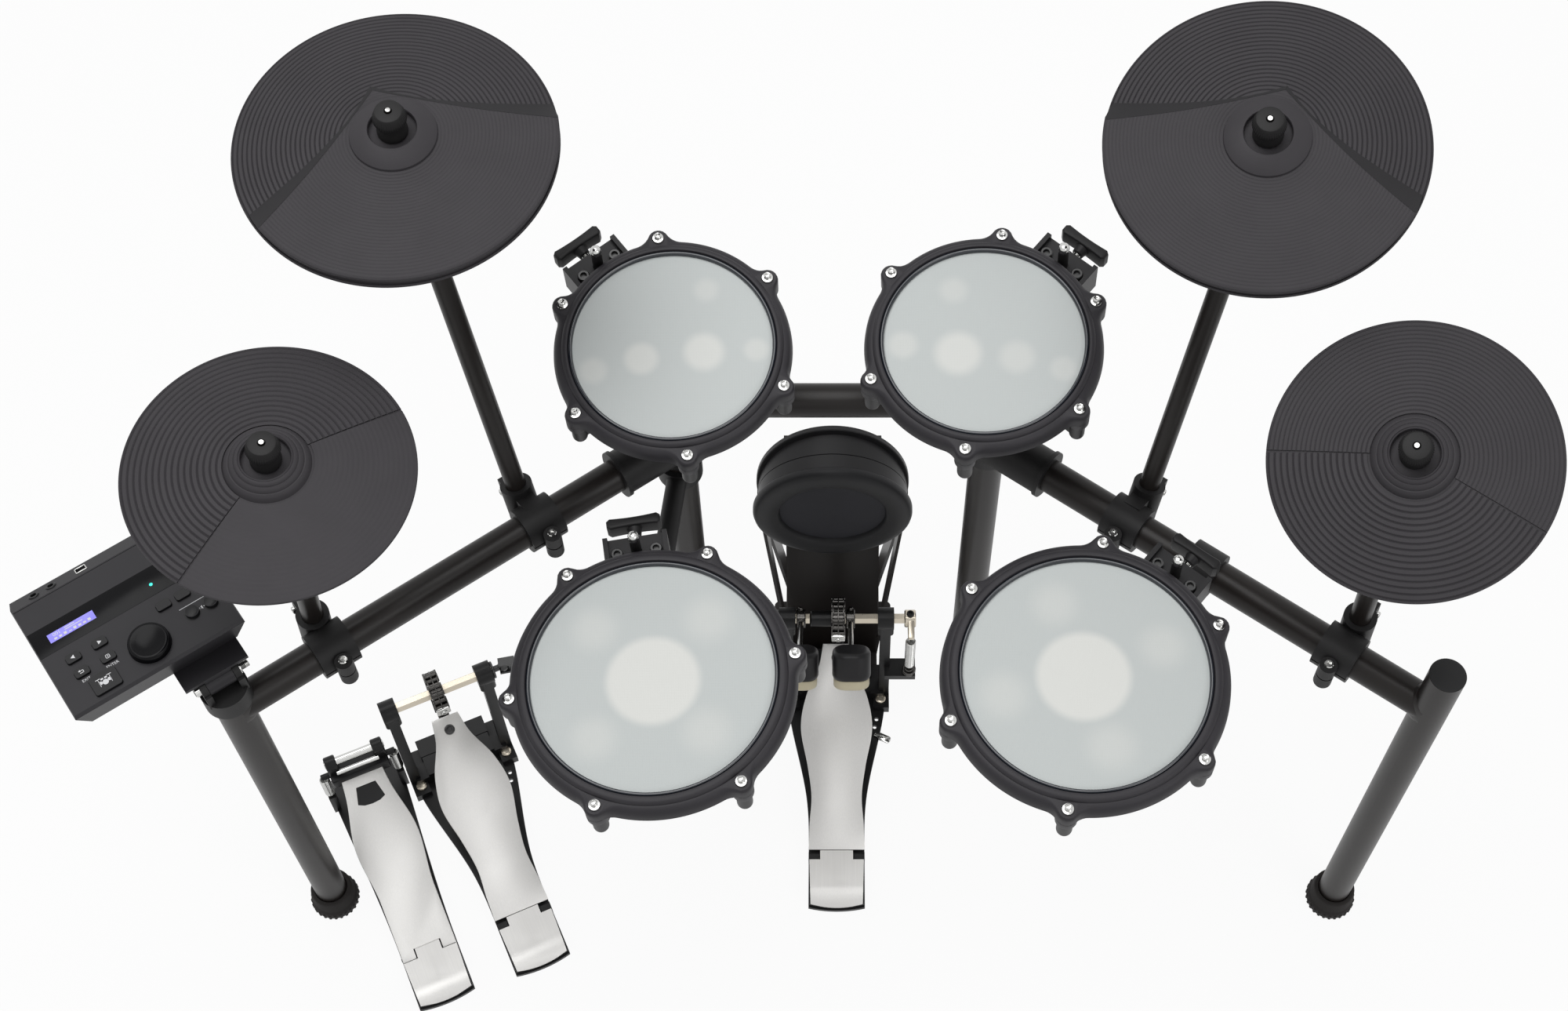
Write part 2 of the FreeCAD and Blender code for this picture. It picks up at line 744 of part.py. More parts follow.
def cymbal(name):
    """Crashes carry a raised playing bow; the smaller pads have two radial seams instead."""
    rim_r, bow = cymbal_profile(name)
    first, last = CYMBALS[name][4:6]
    body = cymbal_body(name, 0, 0)
    if name.startswith("crash"):
        playing_bow = cymbal_body(name, RAISED, RAISED_AT_BELL)
        playing_bow = playing_bow.cut(behind_wall(name, first, -1)).cut(behind_wall(name, last, 1))
        playing_bow = playing_bow.cut(Part.makeCylinder(BELL_R + 1, 200, V(0, 0, -100)))
        body = body.fuse(playing_bow)
    else:
        for bearing in (first, last):
            cutter = seam_cutter(rim_r, bow)
            cutter.rotate(V(), UP, bearing)
            body = body.cut(cutter)
    return put(body, cymbal_frame(name))


def seam_cutter(rim_r, bow):
    """Thin wedge that follows the bow's top face from the bell to the rim."""
    middle = (rim_r + BELL_R) / 2
    low = [(BELL_R + 2, bow), (middle, bow_height(middle, rim_r, bow)), (rim_r + 1, 0)]
    points = [V(r, 0, z - SEAM_DEEP) for r, z in low]
    points += [V(rim_r + 1, 0, bow + 10), V(BELL_R + 2, 0, bow + 10)]
    face = Part.Face(Part.makePolygon(points + points[:1]))
    cutter = face.extrude(V(0, SEAM_W, 0))
    cutter.translate(V(0, -SEAM_W / 2, 0))
    return cutter


# Drum pads

def pad_frame(name):
    """Head centre at the origin, X towards the mount."""
    centre, normal, bearing = PADS[name][:3]
    return placed(centre, normal, polar(1, bearing))


def pad_rod_radius(name):
    return PADS[name][4] + ROD_OUT


def ear_outline(hoop_r, bolt_r):
    """Hoop circle with six rounded ears, all arcs and tangent."""
    to_hoop = hoop_r + EAR_BLEND
    to_ear = EAR_R + EAR_BLEND
    cos_hoop = (to_hoop ** 2 + bolt_r ** 2 - to_ear ** 2) / (2 * to_hoop * bolt_r)
    spread = math.degrees(math.acos(cos_hoop))
    edges = []
    bearings = [30 + 60 * k for k in range(6)]
    for bearing in bearings:
        ear = polar(bolt_r, bearing)
        outer = polar(bolt_r + EAR_R, bearing)
        before = polar(to_hoop, bearing - spread)
        after = polar(to_hoop, bearing + spread)
        hoop_in = polar(hoop_r, bearing - spread)
        hoop_out = polar(hoop_r, bearing + spread)
        ear_in = ear + unit(before - ear) * EAR_R
        ear_out = ear + unit(after - ear) * EAR_R
        blend_in = before + unit((hoop_in - before) + (ear_in - before)) * EAR_BLEND
        blend_out = after + unit((hoop_out - after) + (ear_out - after)) * EAR_BLEND
        edges += [
            Part.Arc(hoop_in, blend_in, ear_in).toShape(),
            Part.Arc(ear_in, outer, ear_out).toShape(),
            Part.Arc(ear_out, blend_out, hoop_out).toShape(),
            Part.Arc(hoop_out, polar(hoop_r, bearing + 30), polar(hoop_r, bearing + 60 - spread)).toShape(),
        ]
    return Part.Face(Part.Wire(Part.__sortEdges__(edges)))


def pad_hoop(name):
    head_r, hoop_r, bolt_r = PADS[name][3:6]
    inner_skirt = hoop_r - HOOP_WALL
    plate = ear_outline(hoop_r, bolt_r).extrude(V(0, 0, HOOP_SKIRT + EAR_EDGE))
    plate.translate(V(0, 0, -HOOP_SKIRT))
    rim = [e for e in plate.Edges if e.BoundBox.ZMin > 0]
    plate = plate.makeChamfer(EAR_EDGE * 0.8, rim)
    bead = turned([
        (head_r, 0), (head_r, HOOP_LIP * 0.6), (head_r + 2.5, HOOP_LIP), (hoop_r - 5, HOOP_LIP),
        (hoop_r - 2, HOOP_LIP * 0.55), (hoop_r - 2, 0),
    ])
    skirt_hole = Part.makeCylinder(inner_skirt, HOOP_SKIRT + 1, V(0, 0, -HOOP_SKIRT - 1))
    lip_hole = Part.makeCylinder(head_r, 20, V(0, 0, -1))
    return put(plate.fuse(bead).cut(skirt_hole).cut(lip_hole), pad_frame(name))


def pad_head(name):
    hoop_r = PADS[name][4]
    disc = Part.makeCylinder(hoop_r - HOOP_WALL - SLIDE, HEAD_T, V(0, 0, -HEAD_T))
    return put(disc, pad_frame(name))


def pad_shell(name):
    """Cup with six lugs, the sensor beam inside, and the bracket that grips the L-rod."""
    head_r, hoop_r, bolt_r = PADS[name][3:6]
    outer = hoop_r - HOOP_WALL - 2 * SLIDE
    inner = outer - SHELL_WALL
    low = -SHELL_DEPTH
    cup = turned([
        (0, low), (outer - 8, low), (outer, low + 8), (outer, -HEAD_T), (inner, -HEAD_T),
        (inner, low + 10), (inner - 6, low + SHELL_WALL), (0, low + SHELL_WALL),
    ])
    lug_top = -HOOP_SKIRT - LUG_GAP
    pieces = [cup]
    for k in range(6):
        bearing = 30 + 60 * k
        at = polar(bolt_r, bearing)
        post = Part.makeCylinder(LUG_R, LUG_H, at + V(0, 0, lug_top - LUG_H))
        tip = Part.makeSphere(LUG_R, at + V(0, 0, lug_top - LUG_H))
        web = block(outer - 2, bolt_r, -LUG_R * 0.7, LUG_R * 0.7, lug_top - LUG_H, lug_top)
        web.rotate(V(), UP, bearing)
        pieces += [post, tip, web]
    beam = block(-inner - 1, inner + 1, -BEAM_W / 2, BEAM_W / 2, -BEAM_DROP, -BEAM_DROP + BEAM_T)
    pieces.append(beam)
    rod_r = pad_rod_radius(name)
    high = -HOOP_SKIRT - BRACKET_DROP
    deep = high - BRACKET_H
    half = BRACKET_W / 2
    reach = hoop_r + BRACKET_OUT
    pieces.append(block(outer - 3, reach, -half, half, high - BRACKET_T, high))
    for side in (-1, 1):
        wall = block(outer - 6, reach, -BRACKET_T / 2, BRACKET_T / 2, deep, high + 7)
        wall.translate(V(0, side * (half - BRACKET_T / 2), 0))
        pieces.append(wall)
    grip_r = ROD_R + CLAMP_WALL
    pieces.append(Part.makeCylinder(grip_r, BRACKET_H, V(rod_r, 0, deep)))
    pieces.append(block(outer - 3, rod_r, -grip_r * 0.7, grip_r * 0.7, deep, high))
    bolt_z = wing_bolt_height()
    nose = rod(V(rod_r, 0, bolt_z), V(reach, 0, bolt_z), BOLT_R + CLAMP_WALL * 0.7)
    pieces.append(nose)
    rod_hole = Part.makeCylinder(ROD_R + FIT, 200, V(rod_r, 0, -150))
    bolt_hole = rod(V(rod_r, 0, bolt_z), V(reach + 1, 0, bolt_z), BOLT_R + FIT)
    shell = fused(pieces).cut(rod_hole).cut(bolt_hole)
    inside_cup = Part.makeCylinder(inner - 7, SHELL_DEPTH, V(0, 0, low + SHELL_WALL))
    cone = Part.makeCone(CONE_R, CONE_R * 0.45, BEAM_DROP - BEAM_T - HEAD_T, V(0, 0, -BEAM_DROP + BEAM_T))
    cone = cone.common(inside_cup)
    return put(Part.makeCompound(shell.Solids + cone.Solids), pad_frame(name))


def wing_bolt_height():
    return -HOOP_SKIRT - BRACKET_DROP - BRACKET_H * 0.5


def wing_bolt(name):
    """Threaded shank with a bar-shaped grip, thickest in its middle."""
    rod_r = pad_rod_radius(name)
    reach = PADS[name][4] + BRACKET_OUT
    z = wing_bolt_height()
    start = reach + WING_STANDOFF
    shank = rod(V(rod_r + ROD_R + FIT * 2, 0, z), V(start + 2, 0, z), BOLT_R)
    hub = Part.makeCone(WING_HUB_R * 0.75, WING_HUB_R, WING_HUB_L, V(start, 0, z), ACROSS)
    back = start + WING_HUB_L
    thick = WING_T / 2
    thin = WING_END_T / 2
    middle = back - thick
    wing = prism([
        (middle - thick, -WING_HUB_R), (middle - thick, WING_HUB_R), (middle - thin, WING_REACH),
        (middle + thin, WING_REACH), (middle + thick, WING_HUB_R), (middle + thick, -WING_HUB_R),
        (middle + thin, -WING_REACH), (middle - thin, -WING_REACH),
    ], -WING_H / 2, WING_H / 2)
    wing.translate(V(0, 0, z))
    flat = [e for e in wing.Edges if e.BoundBox.ZLength < 0.01]
    wing = wing.makeChamfer(WING_EDGE, flat)
    return put(fused([shank, hub, wing]), pad_frame(name))


def rod_line(name):
    """Elbow and top of the L-rod's upright, along the pad's own normal."""
    frame = pad_frame(name)
    top = frame.multVec(V(pad_rod_radius(name), 0, ROD_TOP))
    return top, unit(PADS[name][1])


def l_rod(name, root, level):
    """Rod that leaves its clamp level and turns up along the pad's normal."""
    top = rod_line(name)[0]
    corner = rod_elbow(name, level)
    start = V(root.x, root.y, level)
    start = start + unit(corner - start) * (PIPE_R + ROD_INSET)
    return bent_rod(start, corner, top, ROD_R, ROD_BEND)


def rod_elbow(name, level):
    """Where the L-rod's upright line comes down to the level of its other leg."""
    top, n = rod_line(name)
    return top - n * ((top.z - level) / n.z)


def rod_socket(root, name):
    """Boss for the level end of an L-rod, and the hole in it."""
    out = unit(rod_elbow(name, root.z) - root)
    reach = PAD_BOSS_REACH[name]
    boss = rod(root + out * PIPE_R, root + out * reach, PAD_BOSS_R)
    hole = rod(root + out * (PIPE_R + ROD_INSET), root + out * (reach + 1), ROD_R + SNUG)
    return boss, hole


def upright_pad_clamp(name, side, level):
    root = V(side * REAR_X, REAR_Y, level)
    half = UP * (PAD_CLAMP_H / 2)
    collar = rod(root - half, root + half, PIPE_R + CLAMP_WALL)
    boss, hole = rod_socket(root, name)
    upright = rod(root - half * 2, root + half * 2, PIPE_R + SNUG)
    return fused([collar, boss]).cut(upright).cut(hole)


def bar_pad_clamp(name, side):
    """Collar on the side bar, at the place nearest to the pad's L-rod."""
    along = bar_line(side)[2]
    root = bar_foot(name, side)
    half = along * (PAD_CLAMP_H / 2 + 4)
    collar = rod(root - half, root + half, PIPE_R + CLAMP_WALL)
    boss, hole = rod_socket(root, name)
    bar = rod(root - half * 2, root + half * 2, BAR_R + SNUG)
    return fused([collar, boss]).cut(bar).cut(hole)


def bar_foot(name, side):
    rear, front, along = bar_line(side)
    return rear + along * (rod_elbow(name, BAR_Z) - rear).dot(along)


# Sound module

def module_axes():
    return polar(1, MODULE_TURN), polar(1, MODULE_TURN + 90)


def module_frame():
    return placed(MODULE_CENTRE, UP, module_axes()[0])


def tilt_centre():
    return V(-FRONT_X, FRONT_Y, TILT_Z)


def module_fork():
    """Cap on the left front leg with two cheeks and the pin that the module tilts on."""
    frame = placed(V(-FRONT_X, FRONT_Y, 0), UP, module_axes()[0])
    cup = Part.makeCylinder(FORK_R, LEFT_LEG_TOP + FORK_FLOOR - FORK_LOW, V(0, 0, FORK_LOW))
    cup = cup.cut(Part.makeCylinder(PIPE_R + SNUG, LEFT_LEG_TOP - FORK_LOW, V(0, 0, FORK_LOW)))
    pieces = [cup]
    half = FORK_GAP / 2
    for side in (-1, 1):
        inner = min(side * half, side * (half + FORK_CHEEK))
        cheek = block(inner, inner + FORK_CHEEK, -FORK_DEPTH / 2, FORK_DEPTH / 2, LEFT_LEG_TOP, TILT_Z)
        round_r = FORK_TOP - TILT_Z
        crown = rod(V(inner, 0, TILT_Z), V(inner + FORK_CHEEK, 0, TILT_Z), round_r)
        shoulder = block(inner, inner + FORK_CHEEK, -round_r, round_r, LEFT_LEG_TOP, TILT_Z)
        pieces += [cheek, crown, shoulder]
    pin_reach = half + FORK_CHEEK + 6
    pieces.append(rod(V(-pin_reach, 0, TILT_Z), V(pin_reach, 0, TILT_Z), TILT_PIN_R))
    return put(fused(pieces), frame)


def module_case():
    """Tapered box with a sloped rear edge, wells for its keys, and the tongue that hangs in the fork."""
    frame = module_frame()
    w = MODULE_W / 2
    d = MODULE_D / 2
    low = -MODULE_H
    side_section = prism([
        (-d, -MODULE_EDGE), (-d + MODULE_EDGE, 0), (d - REAR_BEVEL_D, 0), (d, -REAR_BEVEL_H),
        (d - MODULE_TAPER, low), (-d + MODULE_TAPER, low),
    ], -w, w)
    side_section.rotate(V(), V(1, 1, 1), 120)
    front_section = prism([
        (-w, -MODULE_EDGE), (-w + 1, 0), (w - 1, 0), (w, -MODULE_EDGE), (w - MODULE_TAPER, low),
        (-w + MODULE_TAPER, low),
    ], -d - 1, d + 1)
    front_section.rotate(V(), ACROSS, 90)
    case = side_section.common(front_section)
    wells = [key_solid(at, KEY_W, KEY_D, SLIDE, KEY_DEEP) for places in KEYS_AT.values() for at in places]
    wells.append(key_solid(KIT_KEY_AT, KIT_KEY_W, KIT_KEY_D, SLIDE, KEY_DEEP))
    for well in wells:
        case = case.cut(well)
    case = case.cut(Part.makeCylinder(DIAL_R + SLIDE, KEY_DEEP, V(*DIAL_AT, -KEY_DEEP)))
    for hole in rear_sockets():
        case = case.cut(hole)
    for at in KNOBS_AT:
        case = case.fuse(Part.makeCylinder(KNOB_R, KNOB_H + 1, V(*at, -1)))
    hinge = frame.inverse().multVec(tilt_centre())
    eye_half = FORK_GAP / 2 - SLIDE
    back = hinge.y + TONGUE_PLATE_D
    eye_r = TILT_PIN_R + CLAMP_WALL
    plate_low = low - TONGUE_PLATE_T
    eye = rod(V(hinge.x - eye_half, hinge.y, hinge.z), V(hinge.x + eye_half, hinge.y, hinge.z), eye_r)
    neck = block(hinge.x - eye_half, hinge.x + eye_half, hinge.y - 4, back, hinge.z, plate_low + 1)
    neck = neck.cut(block(-w, w, hinge.y + eye_r + 8, d, hinge.z - 1, plate_low - 7))
    plate_half = TONGUE_PLATE_W / 2
    plate = block(hinge.x - plate_half, hinge.x + plate_half, hinge.y - 4, back, plate_low, low + 0.01)
    pin_hole = rod(V(hinge.x - 40, hinge.y, hinge.z), V(hinge.x + 40, hinge.y, hinge.z), TILT_PIN_R + FIT)
    return put(fused([case, eye, neck, plate]).cut(pin_hole), frame)


def rear_sockets():
    """Round jacks and a square port, sunk square to the sloping rear edge."""
    slope = unit(V(0, REAR_BEVEL_H, REAR_BEVEL_D))
    middle = V(0, MODULE_D / 2 - REAR_BEVEL_D / 2, -REAR_BEVEL_H / 2)
    holes = []
    for x in JACKS_AT:
        holes.append(rod(middle + ACROSS * x - slope * JACK_DEEP, middle + ACROSS * x + slope, JACK_R))
    port = block(-PORT_W / 2, PORT_W / 2, -PORT_H / 2, PORT_H / 2, -PORT_DEEP, 1)
    holes.append(put(port, placed(middle + ACROSS * PORT_AT, slope, ACROSS)))
    return holes


def key_solid(at, width, depth, margin, deep):
    x, y = at
    half_w = width / 2 + margin
    half_d = depth / 2 + margin
    key = block(x - half_w, x + half_w, y - half_d, y + half_d, -deep, 0 if margin else KEY_H)
    upright = [e for e in key.Edges if abs(e.BoundBox.ZLength - (deep if margin else deep + KEY_H)) < 0.01]
    return key.makeFillet(2.5 + margin, upright)


def module_keys(name):
    keys = [key_solid(at, KEY_W, KEY_D, 0, KEY_DEEP - KEY_ROOM) for at in KEYS_AT[name]]
    return put(Part.makeCompound(keys), module_frame())


def kit_key():
    return put(key_solid(KIT_KEY_AT, KIT_KEY_W, KIT_KEY_D, 0, KEY_DEEP - KEY_ROOM), module_frame())


def module_dial():
    shape = turned([
        (0, -KEY_DEEP + FIT), (DIAL_R, -KEY_DEEP + FIT), (DIAL_R, DIAL_H - 3), (DIAL_R - 3, DIAL_H),
        (DIAL_R * 0.55, DIAL_H - 1), (0, DIAL_H - 2),
    ])
    shape.translate(V(*DIAL_AT, 0))
    return put(shape, module_frame())


# Kick tower and pad

def kick_frame():
    """Pad face at the origin, X across, Z out of the face towards the drummer."""
    lean = math.radians(KICK_LEAN)
    out = V(0, -math.cos(lean), math.sin(lean))
    return placed(KICK_CENTRE, out, ACROSS)


def kick_pad_face():
    shape = turned([
        (0, -KICK_FACE_DEEP), (KICK_FACE_R, -KICK_FACE_DEEP), (KICK_FACE_R, -1), (KICK_FACE_R + 1, 0),
        (KICK_R - 4, 0), (KICK_R, -4), (KICK_R, -KICK_RING_T), (0, -KICK_RING_T),
    ])
    return put(shape, kick_frame())


def kick_pad_shell():
    rim = KICK_DEPTH - KICK_RIM_T
    shape = turned([
        (0, -KICK_RING_T), (KICK_BODY_R, -KICK_RING_T), (KICK_BODY_R - 1.5, -rim), (KICK_RIM_R, -rim),
        (KICK_RIM_R, -KICK_DEPTH + 2), (KICK_RIM_R - 2, -KICK_DEPTH), (0, -KICK_DEPTH),
    ])
    return put(shape, kick_frame())


def panel_y(z):
    """Y of the panel's front face at a height: it lies against the back of the pad."""
    lean = math.radians(KICK_LEAN)
    back_y = KICK_CENTRE.y + KICK_DEPTH * math.cos(lean)
    back_z = KICK_CENTRE.z - KICK_DEPTH * math.sin(lean)
    return back_y + (z - back_z) * math.tan(lean)


def kick_tower():
    """Leaning panel behind the pad, flared struts with triangular windows, and the base plate."""
    half = PANEL_W / 2
    thick = PANEL_T / math.cos(math.radians(KICK_LEAN))
    y_low = panel_y(0)
    y_top = panel_y(PANEL_TOP)
    side_view = [(y_low, 0), (y_top, PANEL_TOP), (y_top + thick, PANEL_TOP), (y_low + thick, 0)]
    panel = prism(side_view, -half, half)
    panel.rotate(V(), V(1, 1, 1), 120)
    front = KICK_HEEL.y + BASE_END + SLIDE
    stem = block(-TOWER_STEM_W / 2, TOWER_STEM_W / 2, front, front + TOWER_BASE_D, 0, TOWER_BASE_T)
    ear_y = front + TOWER_EAR_AT
    ears = block(-TOWER_BASE_W / 2, TOWER_BASE_W / 2, ear_y, ear_y + TOWER_EAR_D, 0, TOWER_BASE_T)
    corners = [e for e in ears.Edges if e.BoundBox.ZLength > TOWER_BASE_T - 0.1]
    ears = ears.makeFillet(TOWER_EAR_D * 0.4, corners)
    pieces = [panel, stem, ears]
    y_strut = panel_y(STRUT_TOP)
    y_back = y_strut + STRUT_TOP_D
    outline = [(y_low, 0), (y_strut, STRUT_TOP), (y_back, STRUT_TOP), (y_low + STRUT_FOOT_D, 0)]
    slope = (y_strut - y_low) / STRUT_TOP
    sill = TOWER_BASE_T + STRUT_RIM
    window_top = STRUT_TOP - 3 * STRUT_RIM
    window = [
        (y_low + slope * sill + STRUT_RIM, sill),
        (y_low + slope * window_top + STRUT_RIM, window_top),
        (y_low + STRUT_FOOT_D - STRUT_RIM * 1.6, sill),
    ]
    strut = prism(outline, 0, STRUT_T).cut(prism(window, -1, STRUT_T + 1))
    strut.rotate(V(), V(1, 1, 1), 120)
    right = strut.copy()
    right.translate(V(half - STRUT_T, 0, 0))
    right.rotate(V(half - STRUT_T, 0, 0), AWAY, STRUT_FLARE)
    left = right.mirror(V(), ACROSS)
    floor = block(-TOWER_BASE_W, TOWER_BASE_W, 0, front + 2 * TOWER_BASE_D, -FLOOR_CUT, 0)
    return fused(pieces + [right, left]).cut(floor)


# Pedals: built along +X from the heel with +Y to the left, then turned and set on the floor

def pedal_frame(heel, turn):
    """Local X from heel to toe, local Y to the drummer's left."""
    return placed(heel, UP, polar(1, 90 + turn))


def heel_plate():
    """Plate that curves down to a bowed rear edge."""
    half = HEEL_W / 2 - 1
    back = HEEL_ARC + 2
    top = HINGE_Z + HINGE_R
    section = Part.Wire([
        Part.makeLine(V(HEEL_END, 0, BASE_T), V(HEEL_END, 0, top)),
        Part.makeLine(V(HEEL_END, 0, top), V(HEEL_DROOP, 0, top)),
        arc_from(V(HEEL_DROOP, 0, top), ACROSS * -1, V(0, 0, HEEL_LIP_Z)),
        Part.makeLine(V(0, 0, HEEL_LIP_Z), V(0, 0, BASE_T)),
        Part.makeLine(V(0, 0, BASE_T), V(HEEL_END, 0, BASE_T)),
    ])
    side_view = Part.Face(section).extrude(V(0, HEEL_W, 0))
    side_view.translate(V(0, -HEEL_W / 2, 0))
    plan = smooth_plan(back, half)
    return side_view.common(plan)


def smooth_plan(back, half):
    """Plan of the heel plate: straight sides and a bowed rear edge."""
    wire = Part.Wire([
        Part.Arc(V(back, -half, 0), V(back - HEEL_ARC, 0, 0), V(back, half, 0)).toShape(),
        Part.makeLine(V(back, half, 0), V(HEEL_END, half, 0)),
        Part.makeLine(V(HEEL_END, half, 0), V(HEEL_END, -half, 0)),
        Part.makeLine(V(HEEL_END, -half, 0), V(back, -half, 0)),
    ])
    return Part.Face(wire).extrude(V(0, 0, 2 * HINGE_Z))


def corner_knuckles():
    """Stretches of the hinge line that belong to the base of a kick pedal."""
    outer = HEEL_W / 2
    return [(-outer, KNUCKLE_W - outer), (outer - KNUCKLE_W, outer)]


def middle_knuckle():
    """The one stretch that belongs to the base of the hi-hat pedal."""
    return [(-HEEL_TONGUE_W / 2, HEEL_TONGUE_W / 2)]


def board_spans(knuckles):
    """Stretches of the hinge line left for the board, between or beside the base's knuckles."""
    edge = HEEL_W / 2
    spans = []
    start = -edge
    for low, high in knuckles:
        if low - HINGE_GAP > start:
            spans.append((start, low - HINGE_GAP))
        start = high + HINGE_GAP
    if start < edge:
        spans.append((start, edge))
    return spans


def heel_knuckles(knuckles):
    """Hinge blocks at the front of the heel plate and the pin through them."""
    pieces = []
    for low, high in knuckles:
        pieces.append(block(HEEL_END, HINGE_U, low, high, BASE_T, HINGE_Z + HINGE_R))
        pieces.append(rod(V(HINGE_U, low, HINGE_Z), V(HINGE_U, high, HINGE_Z), HINGE_R))
        pieces.append(block(HINGE_U - HINGE_R, HINGE_U + HINGE_R, low, high, BASE_T, HINGE_Z))
    outer = HEEL_W / 2
    pieces.append(rod(V(HINGE_U, -outer, HINGE_Z), V(HINGE_U, outer, HINGE_Z), HINGE_PIN_R))
    return pieces


def kick_base(heel, turn):
    """Floor plate, heel plate, hinge, two posts with bearings and the clamp block at the front."""
    half = BASE_FRONT_W / 2
    outline = smooth_outline([
        (HEEL_ARC, HEEL_W / 2), (HINGE_U, HEEL_W / 2), (BASE_WAIST_U, BASE_WAIST_W / 2),
        (BASE_FLARE_U, half), (BASE_END, half),
    ], HEEL_ARC)
    plate = outline.extrude(V(0, 0, BASE_T))
    for u, v in BASE_HOLES:
        plate = plate.cut(rod(V(u, v, -1), V(u, v, BASE_T + 1), BASE_HOLE_R))
    pieces = [plate, heel_plate()] + heel_knuckles(corner_knuckles())
    sill = POST_FOOT_U - SILL_D / 2
    for side in (-1, 1):
        foot_at = V(POST_FOOT_U, side * POST_V, BASE_T)
        head_at = V(SHAFT_U, side * POST_V, SHAFT_Z)
        frame = placed(foot_at, head_at - foot_at, ACROSS)
        length = (head_at - foot_at).Length
        column = block(-POST_D / 2, POST_D / 2, -POST_W / 2, POST_W / 2, -4, length)
        column = put(column, frame)
        column = column.cut(block(200, 400, -100, 100, -50, 0))
        pieces.append(column)
        inner = side * (POST_V - POST_FOOT_IN)
        outer = side * (POST_V + POST_FOOT_W / 2)
        foot = block(POST_FOOT_U - 26, POST_FOOT_U + 16, min(inner, outer), max(inner, outer), 0, BASE_T + 9)
        pieces.append(foot)
        pieces.append(rod(head_at - V(0, BEARING_W / 2, 0), head_at + V(0, BEARING_W / 2, 0), BEARING_R))
        cap_d = POST_D / 2 + 3
        cap = block(-cap_d, cap_d, -BEARING_W / 2, BEARING_W / 2, length - POST_CAP_H, length)
        cap = cap.makeFillet(4, [e for e in cap.Edges if e.BoundBox.ZLength > POST_CAP_H - 1])
        pieces.append(put(cap, frame))
        low_v = side * SILL_BOX_V - SILL_BOX_W / 2
        pieces.append(block(sill, sill + SILL_D + 4, low_v, low_v + SILL_BOX_W, BASE_T, SILL_BOX_H))
    pieces.append(block(sill, sill + SILL_D, -POST_V, POST_V, BASE_T, BASE_T + SILL_H))
    pieces.append(block(BASE_END - CLAMP_BLOCK_D, BASE_END, -45, 45, BASE_T, CLAMP_BLOCK_H))
    body = fused(pieces)
    shaft_hole = rod(V(SHAFT_U, -120, SHAFT_Z), V(SHAFT_U, 120, SHAFT_Z), SHAFT_R + FIT)
    return put(body.cut(shaft_hole), pedal_frame(heel, turn))


def board_blank(stations, knuckles):
    """Footboard lying level with its hinge line on Y, its top flush with the knuckles it is notched for."""
    under = HINGE_R - BOARD_T
    plate = smooth_outline(stations).extrude(V(0, 0, BOARD_T))
    plate.translate(V(0, 0, under))
    clear = HINGE_R + 2.5
    for low, high in knuckles:
        plate = plate.cut(block(-20, clear, low - HINGE_GAP, high + HINGE_GAP, -20, 20))
    pieces = [plate.cut(block(-30, 0, -HEEL_W, HEEL_W, -20, 20))]
    for low, high in board_spans(knuckles):
        pieces.append(rod(V(0, low, 0), V(0, high, 0), HINGE_R))
        pieces.append(block(0, 20, low, high, under, HINGE_R))
    return pieces


def raised_board(stations, knuckles):
    """Footboard turned up to its rest angle about the heel hinge."""
    pin_hole = rod(V(0, -HEEL_W, 0), V(0, HEEL_W, 0), HINGE_PIN_R + FIT)
    board = fused(board_blank(stations, knuckles)).cut(pin_hole)
    board.rotate(V(), AWAY, -BOARD_ANGLE)
    board.translate(V(HINGE_U, 0, HINGE_Z))
    return board


def kick_board(heel, turn, chain_v):
    """Long waisted footboard with the toe clip and the straight run of the chain."""
    stations = [
        (2, HEEL_W / 2), (BOARD_WAIST, BOARD_WAIST_W / 2), (BOARD_BELLY, BOARD_BELLY_W / 2),
        (BOARD_NECK, BOARD_TOE_W / 2 + 5), (BOARD_LEN, BOARD_TOE_W / 2),
    ]
    board = raised_board(stations, corner_knuckles())
    angle = math.radians(BOARD_ANGLE)
    toe_u = HINGE_U + BOARD_LEN * math.cos(angle)
    toe_z = HINGE_Z + BOARD_LEN * math.sin(angle)
    chain_u = SHAFT_U + CAM_R + CHAIN_PLATE_H / 2 + CHAIN_GAP
    clip_low = toe_z - BOARD_T - 7
    clip = block(toe_u - 22, chain_u + 4, chain_v - 7, chain_v + 7, clip_low, clip_low + 4)
    stalk = block(toe_u - 22, toe_u - 14, chain_v - 7, chain_v + 7, clip_low, toe_z - 4)
    run_start = clip_low + 4 + CHAIN_ROLLER_R - CHAIN_SEAT
    run_end = SHAFT_Z - CHAIN_OPEN
    count = int((run_end - run_start) / CHAIN_PITCH)
    points = [V(chain_u, chain_v, run_start + k * CHAIN_PITCH) for k in range(count + 1)]
    chain = chain_links(points)
    return put(fused([board, clip, stalk] + chain), pedal_frame(heel, turn))


